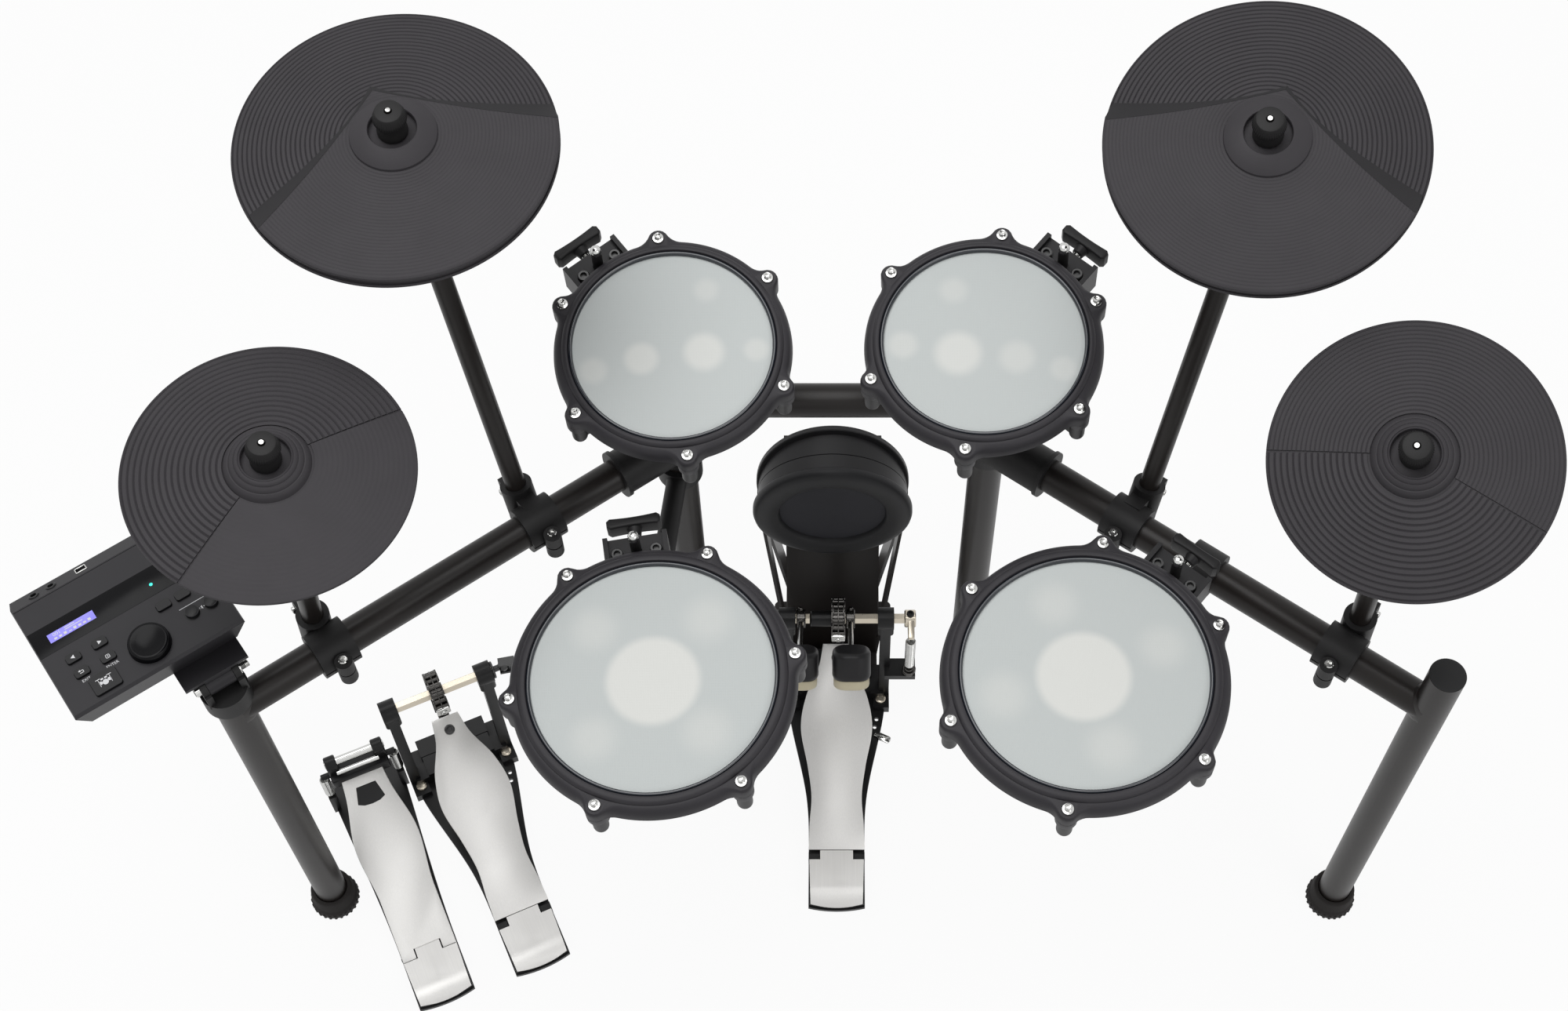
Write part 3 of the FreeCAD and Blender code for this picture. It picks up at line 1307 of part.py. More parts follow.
def chain_links(points):
    """Double-row roller chain through points: a roller at each pin, and inner and outer plates by turns."""
    pieces = []
    half = CHAIN_W / 2
    for at in points:
        pieces.append(rod(at - AWAY * half, at + AWAY * half, CHAIN_ROLLER_R))
    for k in range(len(points) - 1):
        a = points[k]
        b = points[k + 1]
        inset = CHAIN_PLATE_T if k % 2 else 0
        middle = (a + b) / 2
        frame = placed(middle, AWAY, b - a)
        length = (b - a).Length + CHAIN_PLATE_H * 0.7
        for row in (-half + inset, -CHAIN_PLATE_T / 2, half - CHAIN_PLATE_T - inset):
            high = CHAIN_PLATE_H / 2
            plate = block(-length / 2, length / 2, -high, high, row, row + CHAIN_PLATE_T)
            pieces.append(put(plate, frame))
    return pieces


def cam_with_chain(v):
    """Cam on the shaft with the chain wrapped over it, clamp block included."""
    centre = V(SHAFT_U, v, SHAFT_Z)
    half = AWAY * (CAM_W / 2)
    disc = rod(centre - half, centre + half, CAM_R)
    radius = CAM_R + CHAIN_ROLLER_R - CHAIN_SEAT
    step = math.degrees(2 * math.asin(CHAIN_PITCH / 2 / radius))
    points = []
    for k in range(CHAIN_LINKS):
        angle = math.radians(CHAIN_FROM + k * step)
        points.append(centre + V(radius * math.cos(angle), 0, radius * math.sin(angle)))
    bolt_block = block(SHAFT_U - 17, SHAFT_U, v - CAM_W / 2, v + CAM_W / 2, SHAFT_Z - 9, SHAFT_Z + 9)
    return [disc, bolt_block] + chain_links(points)


def beater(v):
    """Hub, rod and two-sided head, leaning back at rest."""
    angle = math.radians(BEATER_REST)
    reach = V(math.cos(angle), 0, math.sin(angle))
    forward = V(math.sin(angle), 0, -math.cos(angle))
    centre = V(SHAFT_U, v, SHAFT_Z)
    head_at = centre + reach * BEATER_REACH
    hub = rod(centre - AWAY * (HUB_W / 2), centre + AWAY * (HUB_W / 2), HUB_R)
    stick = rod(centre, head_at, BEATER_ROD_R)
    tall = BEATER_TALL / 2
    head = block(-tall, tall, -BEATER_W / 2, BEATER_W / 2, -BEATER_BACK, BEATER_FRONT)
    along = [e for e in head.Edges if e.BoundBox.ZLength > BEATER_FRONT]
    head = head.makeFillet(BEATER_EDGE, along)
    head = put(head, placed(head_at, forward, reach))
    return [hub, stick, head]


def kick_beater():
    """Main shaft with cam, chain, beater and the lever that the return spring pulls."""
    inner_end = -SPLIT_V - SLIDE * 2
    shaft = rod(V(SHAFT_U, inner_end, SHAFT_Z), V(SHAFT_U, -SPRING_LEVER_V - 6, SHAFT_Z), SHAFT_R)
    spigot_end = V(SHAFT_U, inner_end + INNER_SHAFT_L, SHAFT_Z)
    spigot = rod(spigot_end, V(SHAFT_U, inner_end, SHAFT_Z), INNER_SHAFT_R)
    lever_hub = rod(V(SHAFT_U, -SPRING_LEVER_V - 6, SHAFT_Z), V(SHAFT_U, -SPRING_LEVER_V + 8, SHAFT_Z), 11)
    half = LEVER_H / 2
    out = -SPRING_LEVER_V
    lever = block(SHAFT_U - LEVER_REACH - 7, SHAFT_U, out - 6, out + 6, SHAFT_Z - half, SHAFT_Z + half)
    pieces = [shaft, spigot, lever_hub, lever] + cam_with_chain(-CAM_V) + beater(-MAIN_BEATER_V)
    return put(fused(pieces), pedal_frame(KICK_HEEL, KICK_TURN))


def second_beater():
    """Second beater's hub, shaft through the left bearing and the ball of its universal joint."""
    start = -SPLIT_V
    end = POST_V + BEARING_W / 2 + SLIDE + 3
    ball = V(SHAFT_U, end + JOINT_NECK_L, SHAFT_Z)
    shaft = rod(V(SHAFT_U, start, SHAFT_Z), V(SHAFT_U, end, SHAFT_Z), SHAFT_R)
    bore_end = V(SHAFT_U, start + INNER_SHAFT_L + 1, SHAFT_Z)
    bore = rod(V(SHAFT_U, start - 1, SHAFT_Z), bore_end, INNER_SHAFT_R + FIT)
    neck = rod(V(SHAFT_U, end, SHAFT_Z), ball, JOINT_NECK_R)
    stop = rod(V(SHAFT_U, POST_V + BEARING_W / 2 + SLIDE, SHAFT_Z), V(SHAFT_U, end, SHAFT_Z), BEARING_R - 3)
    knob = Part.makeSphere(JOINT_BALL_R, ball)
    body = fused([shaft, neck, stop, knob] + beater(-SECOND_BEATER_V)).cut(bore)
    return put(body, pedal_frame(KICK_HEEL, KICK_TURN))


def slave_cam():
    """Slave shaft with cam and chain; its right end carries the ball of the other universal joint."""
    end = POST_V + BEARING_W / 2 + SLIDE + 3
    left_end = POST_V + BEARING_W / 2 - 3
    ball = V(SHAFT_U, -end - JOINT_NECK_L, SHAFT_Z)
    shaft = rod(V(SHAFT_U, left_end, SHAFT_Z), V(SHAFT_U, -end, SHAFT_Z), SHAFT_R)
    neck = rod(V(SHAFT_U, -end, SHAFT_Z), ball, JOINT_NECK_R)
    stop_start = V(SHAFT_U, -POST_V - BEARING_W / 2 - SLIDE, SHAFT_Z)
    stop = rod(stop_start, V(SHAFT_U, -end, SHAFT_Z), BEARING_R - 3)
    knob = Part.makeSphere(JOINT_BALL_R, ball)
    body = fused([shaft, neck, stop, knob] + cam_with_chain(0.0))
    return put(body, pedal_frame(SLAVE_HEEL, SLAVE_TURN))


def drive_ends():
    """Centres of the two universal joints."""
    end = POST_V + BEARING_W / 2 + SLIDE + 3 + JOINT_NECK_L
    slave_end = pedal_frame(SLAVE_HEEL, SLAVE_TURN).multVec(V(SHAFT_U, -end, SHAFT_Z))
    kick_end = pedal_frame(KICK_HEEL, KICK_TURN).multVec(V(SHAFT_U, end, SHAFT_Z))
    return slave_end, kick_end


def drive_shaft():
    """Rod with a yoke at each end, its ears either side of the joint's ball."""
    a, b = drive_ends()
    length = (b - a).Length
    pieces = [rod(V(0, 0, YOKE_DEPTH - 1), V(0, 0, length - YOKE_DEPTH + 1), DRIVE_R)]
    gap = JOINT_BALL_R + SLIDE
    half = YOKE_EAR_W / 2
    floor = YOKE_DEPTH - YOKE_EAR_T
    for side in (-1, 1):
        low = min(side * gap, side * (gap + YOKE_EAR_T))
        pieces.append(block(low, low + YOKE_EAR_T, -half, half, -YOKE_LAP, YOKE_DEPTH))
        pieces.append(block(low, low + YOKE_EAR_T, -half, half, length - YOKE_DEPTH, length + YOKE_LAP))
    outer = gap + YOKE_EAR_T
    pieces.append(block(-outer, outer, -half, half, floor, YOKE_DEPTH))
    pieces.append(block(-outer, outer, -half, half, length - YOKE_DEPTH, length - floor))
    return put(fused(pieces), placed(a, b - a, UP))


def kick_spring_ends():
    """Top eye on the lever and bottom anchor on the right post, in the pedal's frame."""
    seat = LEVER_H / 2 + SPRING_WIRE_R + FIT
    top = V(SHAFT_U - LEVER_REACH, -SPRING_LEVER_V, SHAFT_Z - seat)
    bottom = V(SHAFT_U - LEVER_REACH, -SPRING_LEVER_V, SHAFT_Z - SPRING_DROP)
    return bottom, top


def kick_spring():
    bottom, top = kick_spring_ends()
    return put(coil(bottom, top, KICK_SPRING_TURNS), pedal_frame(KICK_HEEL, KICK_TURN))


def hoop_jaw():
    """Jaw at the front of the main pedal, over the edge of the tower's base plate."""
    low = TOWER_BASE_T + SLIDE
    jaw = block(BASE_END - CLAMP_BLOCK_D, BASE_END + JAW_REACH, -JAW_W / 2, JAW_W / 2, low, CLAMP_BLOCK_H)
    return put(jaw, pedal_frame(KICK_HEEL, KICK_TURN))


def spring_anchor():
    """Arm from the right post to the foot of the return spring."""
    bottom, top = kick_spring_ends()
    high = bottom.z - SPRING_WIRE_R - FIT
    arm = block(bottom.x - 8, POST_FOOT_U + 10, -SPRING_LEVER_V - 8, -POST_V, high - ANCHOR_H, high)
    return put(arm, pedal_frame(KICK_HEEL, KICK_TURN))


# Hi-hat pedal

def hihat_base():
    half = HIHAT_FRONT_W / 2
    outline = smooth_outline([
        (HEEL_ARC, HEEL_W / 2), (HINGE_U, HEEL_W / 2), (BASE_WAIST_U, HEEL_W / 2 + 2),
        (BASE_FLARE_U - 20, half - 4), (HIHAT_BASE_END, half),
    ], HEEL_ARC)
    plate = outline.extrude(V(0, 0, BASE_T))
    pieces = [plate, heel_plate()] + heel_knuckles(middle_knuckle())
    for side in (-1, 1):
        v = side * SPRING_POST_V
        u = spring_post_u()
        half_w = SPRING_POST_W / 2
        post = block(u - SPRING_POST_W, u + SPRING_POST_W, v - half_w, v + half_w, 0, SPRING_POST_H)
        pieces.append(post)
    return put(fused(pieces), pedal_frame(HIHAT_HEEL, HIHAT_TURN))


def hihat_toe():
    angle = math.radians(BOARD_ANGLE)
    reach = HIHAT_BOARD_LEN + YOKE_D / 2
    return V(HINGE_U + reach * math.cos(angle), 0, HINGE_Z + reach * math.sin(angle))


def spring_post_u():
    return hihat_toe().x


def hihat_springs():
    toe = hihat_toe()
    springs = []
    for side in (-1, 1):
        at = side * SPRING_POST_V
        low = V(toe.x, at, SPRING_POST_H + SPRING_WIRE_R + FIT)
        high = V(toe.x, at, toe.z - SPRING_PIN_R - SPRING_WIRE_R - FIT)
        springs.append(coil(low, high, HIHAT_SPRING_TURNS))
    return put(Part.makeCompound(springs), pedal_frame(HIHAT_HEEL, HIHAT_TURN))


def hihat_board():
    """Footboard with the yoke across its toe: two eyes carry a short shaft, side pins hold the springs."""
    stations = [
        (2, HEEL_W / 2 - 1), (BOARD_WAIST, BOARD_WAIST_W / 2), (BOARD_BELLY - 12, HIHAT_BELLY_W / 2),
        (BOARD_NECK - 26, HIHAT_TOE_W / 2 + 3), (HIHAT_BOARD_LEN, HIHAT_TOE_W / 2),
    ]
    board = raised_board(stations, middle_knuckle())
    toe = hihat_toe()
    half = YOKE_W / 2
    bar = block(toe.x - YOKE_D / 2 - 6, toe.x + YOKE_D / 2, -half, half, toe.z - 10, toe.z + 8)
    pieces = [board, bar]
    shaft_z = toe.z + YOKE_H
    for side in (-1, 1):
        inner = min(side * half, side * (half - EYE_W))
        pieces.append(block(toe.x - 7, toe.x + 7, inner, inner + EYE_W, toe.z, shaft_z))
        pieces.append(rod(V(toe.x, inner, shaft_z), V(toe.x, inner + EYE_W, shaft_z), EYE_R))
        pin_from = side * (half - 2)
        pin_to = side * (SPRING_POST_V + SPRING_PIN_END)
        pieces.append(rod(V(toe.x, pin_from, toe.z), V(toe.x, pin_to, toe.z), SPRING_PIN_R))
    pieces.append(rod(V(toe.x, -half, shaft_z), V(toe.x, half, shaft_z), HIHAT_SHAFT_R))
    return put(fused(pieces), pedal_frame(HIHAT_HEEL, HIHAT_TURN))


# The whole kit, node by node

def build_nodes():
    nodes = {
        "rear_frame": rear_frame(),
        "rear_feet": Part.makeCompound([foot(side * REAR_X, REAR_Y) for side in (-1, 1)]),
        "pad_arms": Part.makeCompound([
            upright_pad_clamp("tom_left", -1, TOM_ARM_Z),
            l_rod("tom_left", V(-REAR_X, REAR_Y, 0), TOM_ARM_Z),
            upright_pad_clamp("tom_right", 1, TOM_ARM_Z),
            l_rod("tom_right", V(REAR_X, REAR_Y, 0), TOM_ARM_Z),
            upright_pad_clamp("snare", -1, SNARE_ARM_Z),
            l_rod("snare", V(-REAR_X, REAR_Y, 0), SNARE_ARM_Z),
        ]),
        "left_side_frame": side_frame(-1, LEFT_LEG_TOP),
        "left_foot": foot(-FRONT_X, FRONT_Y),
        "left_clamps": Part.makeCompound([
            corner_clamp(-1), arm_clamp("crash_left"), arm_clamp("hihat"), module_fork(),
        ]),
        "right_side_frame": side_frame(1, RIGHT_LEG_TOP),
        "right_foot": foot(FRONT_X, FRONT_Y),
        "right_clamps": Part.makeCompound([
            corner_clamp(1), arm_clamp("crash_right"), arm_clamp("ride"), bar_pad_clamp("floor_tom", 1),
            l_rod("floor_tom", bar_foot("floor_tom", 1), BAR_Z),
        ]),
        "module_case": module_case(),
        "module_dial": module_dial(),
        "kit_button": kit_key(),
        "kick_tower": kick_tower(),
        "kick_pad_shell": kick_pad_shell(),
        "kick_pad_face": kick_pad_face(),
        "kick_pedal_base": fused([kick_base(KICK_HEEL, KICK_TURN), spring_anchor(), hoop_jaw()]),
        "kick_footboard": kick_board(KICK_HEEL, KICK_TURN, -CAM_V),
        "kick_beater": kick_beater(),
        "kick_spring": kick_spring(),
        "second_beater": second_beater(),
        "drive_shaft": drive_shaft(),
        "slave_pedal_base": kick_base(SLAVE_HEEL, SLAVE_TURN),
        "slave_footboard": kick_board(SLAVE_HEEL, SLAVE_TURN, 0.0),
        "slave_cam": slave_cam(),
        "hihat_pedal_base": hihat_base(),
        "hihat_footboard": hihat_board(),
        "hihat_springs": hihat_springs(),
    }
    for name in CYMBALS:
        nodes[name + "_arm"] = cymbal_arm(name)
        nodes[name + "_nut"] = cymbal_nut(name)
        nodes[name + "_cymbal"] = cymbal(name)
    for name in PADS:
        nodes[name + "_shell"] = pad_shell(name)
        nodes[name + "_hoop"] = pad_hoop(name)
        nodes[name + "_head"] = pad_head(name)
        nodes[name + "_wing_bolt"] = wing_bolt(name)
    for name in KEYS_AT:
        nodes[name] = module_keys(name)
    return nodes


def floor_centre(nodes):
    """Middle of the kit's floor plan, where the model's origin goes."""
    box = FreeCAD.BoundBox()
    for shape in nodes.values():
        box.add(shape.optimalBoundingBox(False))
    return V(box.Center.x, box.Center.y, box.ZMin)


NODES = build_nodes()
ORIGIN = floor_centre(NODES)
os.makedirs("parts", exist_ok=True)
for node_name, node_shape in NODES.items():
    node_shape.translate(ORIGIN * -1)
    node_shape.exportStep("parts/" + node_name + ".step")
print("nodes", len(NODES), "origin at", tuple(round(c, 3) for c in ORIGIN))
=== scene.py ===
import json
import math

import bmesh
import bpy
from mathutils import Matrix, Vector
from mathutils.geometry import interpolate_bezier


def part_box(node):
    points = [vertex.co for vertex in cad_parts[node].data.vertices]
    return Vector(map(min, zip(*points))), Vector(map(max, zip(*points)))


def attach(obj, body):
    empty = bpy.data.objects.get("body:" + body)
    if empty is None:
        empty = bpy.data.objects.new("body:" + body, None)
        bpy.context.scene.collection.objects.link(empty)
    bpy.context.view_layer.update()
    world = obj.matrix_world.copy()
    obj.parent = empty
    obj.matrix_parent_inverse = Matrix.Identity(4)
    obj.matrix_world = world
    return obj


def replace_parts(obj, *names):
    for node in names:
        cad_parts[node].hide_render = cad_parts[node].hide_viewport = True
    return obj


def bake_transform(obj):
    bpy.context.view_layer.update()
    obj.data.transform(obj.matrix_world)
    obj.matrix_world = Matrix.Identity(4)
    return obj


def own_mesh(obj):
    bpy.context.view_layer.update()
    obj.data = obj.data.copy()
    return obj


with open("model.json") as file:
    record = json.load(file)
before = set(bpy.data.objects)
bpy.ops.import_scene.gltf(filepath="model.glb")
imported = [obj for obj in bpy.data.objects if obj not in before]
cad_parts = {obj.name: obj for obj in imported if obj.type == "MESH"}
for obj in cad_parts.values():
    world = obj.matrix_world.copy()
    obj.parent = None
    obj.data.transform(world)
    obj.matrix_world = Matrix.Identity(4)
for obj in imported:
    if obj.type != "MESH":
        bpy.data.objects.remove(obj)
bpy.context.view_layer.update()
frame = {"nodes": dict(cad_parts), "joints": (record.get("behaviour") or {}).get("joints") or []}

joints = {joint["name"]: joint for joint in frame["joints"]}


# Rack tubes
# Straight steel tubes of about 38 mm, coped and welded where they meet, then powder coated black.
# Each weld leaves a rounded bead, and flush plastic plugs close the open leg tops.

MM = 0.001
UP = Vector((0, 0, 1))
ACROSS = Vector((1, 0, 0))
AWAY = Vector((0, 1, 0))
PIPE_R = 19.05
BAR_R = 18.6
BEAD = 3.5
SHEEN = 0.25
CLOUD = 45.0


def linear(code):
    """sRGB hex colour as linear RGBA."""
    channels = [int(code[k:k + 2], 16) / 255 for k in (1, 3, 5)]
    return [c / 12.92 if c < 0.04045 else ((c + 0.055) / 1.055) ** 2.4 for c in channels] + [1.0]


def add(tree, kind, settings, links=None):
    """Adds a node: lower-case settings are its own, the rest are socket values; links lead into sockets."""
    node = tree.nodes.new(kind)
    for key, value in settings.items():
        if isinstance(key, str) and key.islower():
            setattr(node, key, value)
        else:
            node.inputs[key].default_value = value
    for key, source in (links or {}).items():
        tree.links.new(source, node.inputs[key])
    return node


def blank(name, sockets):
    """New material: its node tree, its shader with these socket values, and the piece's own coordinates."""
    material = bpy.data.materials.new(name)
    material.use_nodes = True
    tree = material.node_tree
    shader = tree.nodes["Principled BSDF"]
    for socket, value in sockets.items():
        shader.inputs[socket].default_value = value
    place = tree.nodes.new("ShaderNodeTexCoord").outputs["Object"]
    return material, tree, shader, place


def grained(name, dark, light, roughness, grain, relief, sockets=None):
    """Two close shades in soft clouds, with uneven gloss and a raised grain; sizes in millimetres."""
    material, tree, shader, place = blank(name, sockets or {"Specular IOR Level": SHEEN})
    cloud = add(tree, "ShaderNodeTexNoise", {"Scale": 1 / (CLOUD * MM), "Detail": 3.0}, {"Vector": place})
    colours = {"data_type": "RGBA", 6: linear(dark), 7: linear(light)}
    shade = add(tree, "ShaderNodeMix", colours, {0: cloud.outputs["Fac"]})
    fine = add(tree, "ShaderNodeTexNoise", {"Scale": 1 / (grain * MM), "Detail": 2.0}, {"Vector": place})
    spread = {"To Min": roughness - 0.06, "To Max": roughness + 0.06}
    gloss = add(tree, "ShaderNodeMapRange", spread, {"Value": fine.outputs["Fac"]})
    bump = add(tree, "ShaderNodeBump", {"Distance": relief * MM}, {"Height": fine.outputs["Fac"]})
    tree.links.new(shade.outputs[2], shader.inputs["Base Color"])
    tree.links.new(gloss.outputs[0], shader.inputs["Roughness"])
    tree.links.new(bump.outputs[0], shader.inputs["Normal"])
    return material


def dress(material, *nodes):
    """Gives a material to solids that keep their own shape."""
    for name in nodes:
        for holder in frame["nodes"][name].material_slots:
            holder.material = material


def seat(at, up, ahead=None):
    """Place with its Z along up and its X as near to ahead as it goes."""
    z = Vector(up).normalized()
    hint = Vector(ahead) if ahead is not None else (ACROSS if abs(z.x) < 0.9 else AWAY)
    x = (hint - z * hint.dot(z)).normalized()
    turn = Matrix((x, z.cross(x), z)).transposed().to_4x4()
    return Matrix.Translation(at) @ turn


def join(bm, form, place=Matrix()):
    """Adds one bmesh to another at a place, and frees it."""
    bmesh.ops.transform(form, matrix=place, verts=form.verts)
    mesh = bpy.data.meshes.new("joined")
    form.to_mesh(mesh)
    form.free()
    bm.from_mesh(mesh)
    bpy.data.meshes.remove(mesh)


def spun(bm, profile, steps=48, place=Matrix()):
    """Revolves (radius, height) points about Z."""
    form = bmesh.new()
    verts = [form.verts.new((radius, 0, height)) for radius, height in profile]
    edges = [form.edges.new(pair) for pair in zip(verts, verts[1:])]
    bmesh.ops.spin(form, geom=verts + edges, cent=(0, 0, 0), axis=UP, angle=math.tau, steps=steps,
                   use_merge=True)
    join(bm, form, place)


def loft(bm, rings):
    """Skins rings that have as many points each, and joins the last ring to the first."""
    loops = [[bm.verts.new(point) for point in points] for points in rings]
    for first, second in zip(loops, loops[1:] + loops[:1]):
        for k in range(len(first)):
            bm.faces.new((first[k - 1], first[k], second[k], second[k - 1]))


def piece(name, bm, place, material, body, sharp=35):
    """Makes a bmesh in millimetres a piece at its place in the frame, riding on its body if it has one."""
    bmesh.ops.remove_doubles(bm, verts=bm.verts, dist=0.002)
    bmesh.ops.recalc_face_normals(bm, faces=bm.faces)
    bmesh.ops.transform(bm, matrix=place @ Matrix.Scale(MM, 4), verts=bm.verts)
    mesh = bpy.data.meshes.new(name)
    bm.to_mesh(mesh)
    bm.free()
    mesh.shade_smooth()
    mesh.set_sharp_from_angle(angle=math.radians(sharp))
    mesh.materials.append(material)
    made = bpy.data.objects.new(name, mesh)
    bpy.context.collection.objects.link(made)
    if body:
        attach(made, body)
    return made


def middle(node):
    """Middle of a solid's box."""
    low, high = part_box(node)
    return (low + high) / 2


def saddle(bar_r, bead):
    """Rings of a weld bead round a bar that ends on an upright at the origin; the bar leaves along X."""
    rings = []
    swell = bead / bar_r
    for out, wide in ((bead, 1.003), (bead * 0.6, 1 + 0.5 * swell), (0.1, 1 + swell), (-1, 0.97)):
        ring = []
        for k in range(48):
            angle = math.tau * k / 48
            y = min(max(bar_r * wide * math.cos(angle), -PIPE_R * 0.99), PIPE_R * 0.99)
            ring.append((math.sqrt(PIPE_R ** 2 - y * y) + out, y, bar_r * wide * math.sin(angle)))
        rings.append(ring)
    return rings


# Powder coat: a satin film with a faint orange peel; broad soft highlights on a warm black.
powder_coat = grained("powder_coated_steel", "#1c1918", "#262220", 0.36, 1.3, 0.025)
# Moulded ABS plug: flat, a little greyer and duller than the tube round it.
plug_plastic = grained("moulded_abs_plug", "#232324", "#2b2b2c", 0.55, 0.6, 0.03)

dress(powder_coat, "rear_frame", "left_side_frame", "right_side_frame")
rear = middle("rear_frame")
front_left = middle("left_foot")
front_right = middle("right_foot")
rack = Matrix.Translation((rear.x, front_left.y, 0))
REAR_X = (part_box("rear_frame")[1].x - rear.x) / MM - PIPE_R
REAR_Y = (rear.y - front_left.y) / MM
FRONT_X = (front_right.x - rear.x) / MM
BAR_Z = joints["left_wing_swing"]["pos_m"][2] / MM
CROSSBAR_Z = 638.0
PLUG = [(0, 1.2), (PIPE_R - 2.5, 1.0), (PIPE_R - 0.6, 0.3), (PIPE_R - 0.2, -0.6), (0, -0.6)]
rear_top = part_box("rear_frame")[1].z / MM
right_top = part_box("right_side_frame")[1].z / MM

beads = bmesh.new()
for side in (-1, 1):
    bead = bmesh.new()
    loft(bead, saddle(BAR_R, BEAD))
    join(beads, bead, seat((side * REAR_X, REAR_Y, CROSSBAR_Z), UP, ACROSS * -side))
piece("crossbar_welds", beads, rack, powder_coat, "rack", 60)
plugs = bmesh.new()
for side in (-1, 1):
    spun(plugs, PLUG, 48, Matrix.Translation((side * REAR_X, REAR_Y, rear_top)))
piece("rear_leg_plugs", plugs, rack, plug_plastic, "rack")
for side, wing in ((-1, "left"), (1, "right")):
    bead = bmesh.new()
    loft(bead, saddle(BAR_R, BEAD))
    to_rear = Vector((side * (REAR_X - FRONT_X), REAR_Y, 0))
    bmesh.ops.transform(bead, matrix=seat((side * FRONT_X, 0, BAR_Z), UP, to_rear), verts=bead.verts)
    piece(wing + "_bar_weld", bead, rack, powder_coat, wing + "_wing", 60)
plug = bmesh.new()
spun(plug, PLUG, 48, Matrix.Translation((FRONT_X, 0, right_top)))
piece("right_leg_plug", plug, rack, plug_plastic, "right_wing")


# Feet
# Rubber boots pushed over the leg ends, moulded with a thicker sole and upright ribs round its edge.

FOOT_R = 29.0
FOOT_TOP_R = 25.0
FOOT_H = 36.0
RIBS = 26
RIB_W = 3.6
RIB_H = 10.5


def slab(bm, low, high, edge, place=Matrix(), segments=2):
    """Block between two corners with rounded edges."""
    form = bmesh.new()
    size = Vector(high) - Vector(low)
    shape = Matrix.Translation((Vector(high) + Vector(low)) / 2) @ Matrix.Diagonal((*size, 1))
    bmesh.ops.create_cube(form, size=1, matrix=shape)
    bmesh.ops.bevel(form, geom=form.edges, offset=edge, offset_type="OFFSET", segments=segments, profile=0.5,
                    affect="EDGES", material=-1)
    join(bm, form, place)


def boot(bm, place):
    """One rubber foot, revolved, with its ribs."""
    spun(bm, [
        (0, 0), (FOOT_R - 5, 0), (FOOT_R - 1.2, 0.8), (FOOT_R - 0.5, 2), (FOOT_R - 0.5, 12),
        (FOOT_TOP_R + 2, 14.5), (FOOT_TOP_R + 0.8, 17), (FOOT_TOP_R, FOOT_H - 2.5),
        (FOOT_TOP_R - 1, FOOT_H - 0.7), (FOOT_TOP_R - 2.6, FOOT_H), (PIPE_R + 1, FOOT_H),
        (PIPE_R + 0.2, FOOT_H - 1.5), (PIPE_R + 0.2, FOOT_H - 8), (0, FOOT_H - 8), (0, 0),
    ], 72, place)
    for k in range(RIBS):
        turn = place @ Matrix.Rotation(math.tau * k / RIBS, 4, "Z")
        slab(bm, (FOOT_R - 3, -RIB_W / 2, 0.6), (FOOT_R + 0.6, RIB_W / 2, RIB_H), 0.8, turn, 1)


# Moulded rubber: dull, a shade lighter where it is scuffed, with a fine moulding grain.
foot_rubber = grained("moulded_rubber", "#1d1b1a", "#2a2726", 0.72, 0.9, 0.06)
for name, body, places in (
    ("rear_feet", "rack", [(-REAR_X, REAR_Y), (REAR_X, REAR_Y)]),
    ("left_foot", "left_wing", [(-FRONT_X, 0)]),
    ("right_foot", "right_wing", [(FRONT_X, 0)]),
):
    feet = bmesh.new()
    for x, y in places:
        boot(feet, Matrix.Translation((x, y, 0)))
    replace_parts(piece(name + "_rubber", feet, rack, foot_rubber, body), name)


# Clamps
# Moulded nylon clamps on the tubes: hinged corners, arm sleeves that are slit and bolted, and collars
# for the pad rods. Plated socket screws pull them shut.

ARM_OFFSET = 36.0
SLEEVE_R = 17.6
SLEEVE_LUG = 13.0
BOSS_OUT = 30.55
BOSS_TOP = 18.0
CORNER_BOSS_AT = 34.0


def socket_screw(bm, at, along, head_r, head_h):
    """Cap screw with a round socket, its head standing on a point."""
    spun(bm, [
        (0, head_h * 0.35), (head_r * 0.5, head_h * 0.35), (head_r * 0.55, head_h), (head_r * 0.85, head_h),
        (head_r, head_h * 0.8), (head_r, 0), (0, 0),
    ], 20, seat(at, along))


# Glass-filled nylon: matt black with a fine spark-eroded grain.
clamp_nylon = grained("glass_filled_nylon", "#191919", "#222122", 0.5, 0.7, 0.04)
# Nickel-chrome plate: mirror bright with faint handling marks.
chrome = grained("chrome_plate", "#b9b9b7", "#d6d6d4", 0.13, 6.0, 0.004, {"Metallic": 1.0})
# Blackened steel: dark, with an oily half gloss.
black_steel = grained("blackened_steel", "#161616", "#232324", 0.32, 1.5, 0.01, {"Specular IOR Level": 0.6})

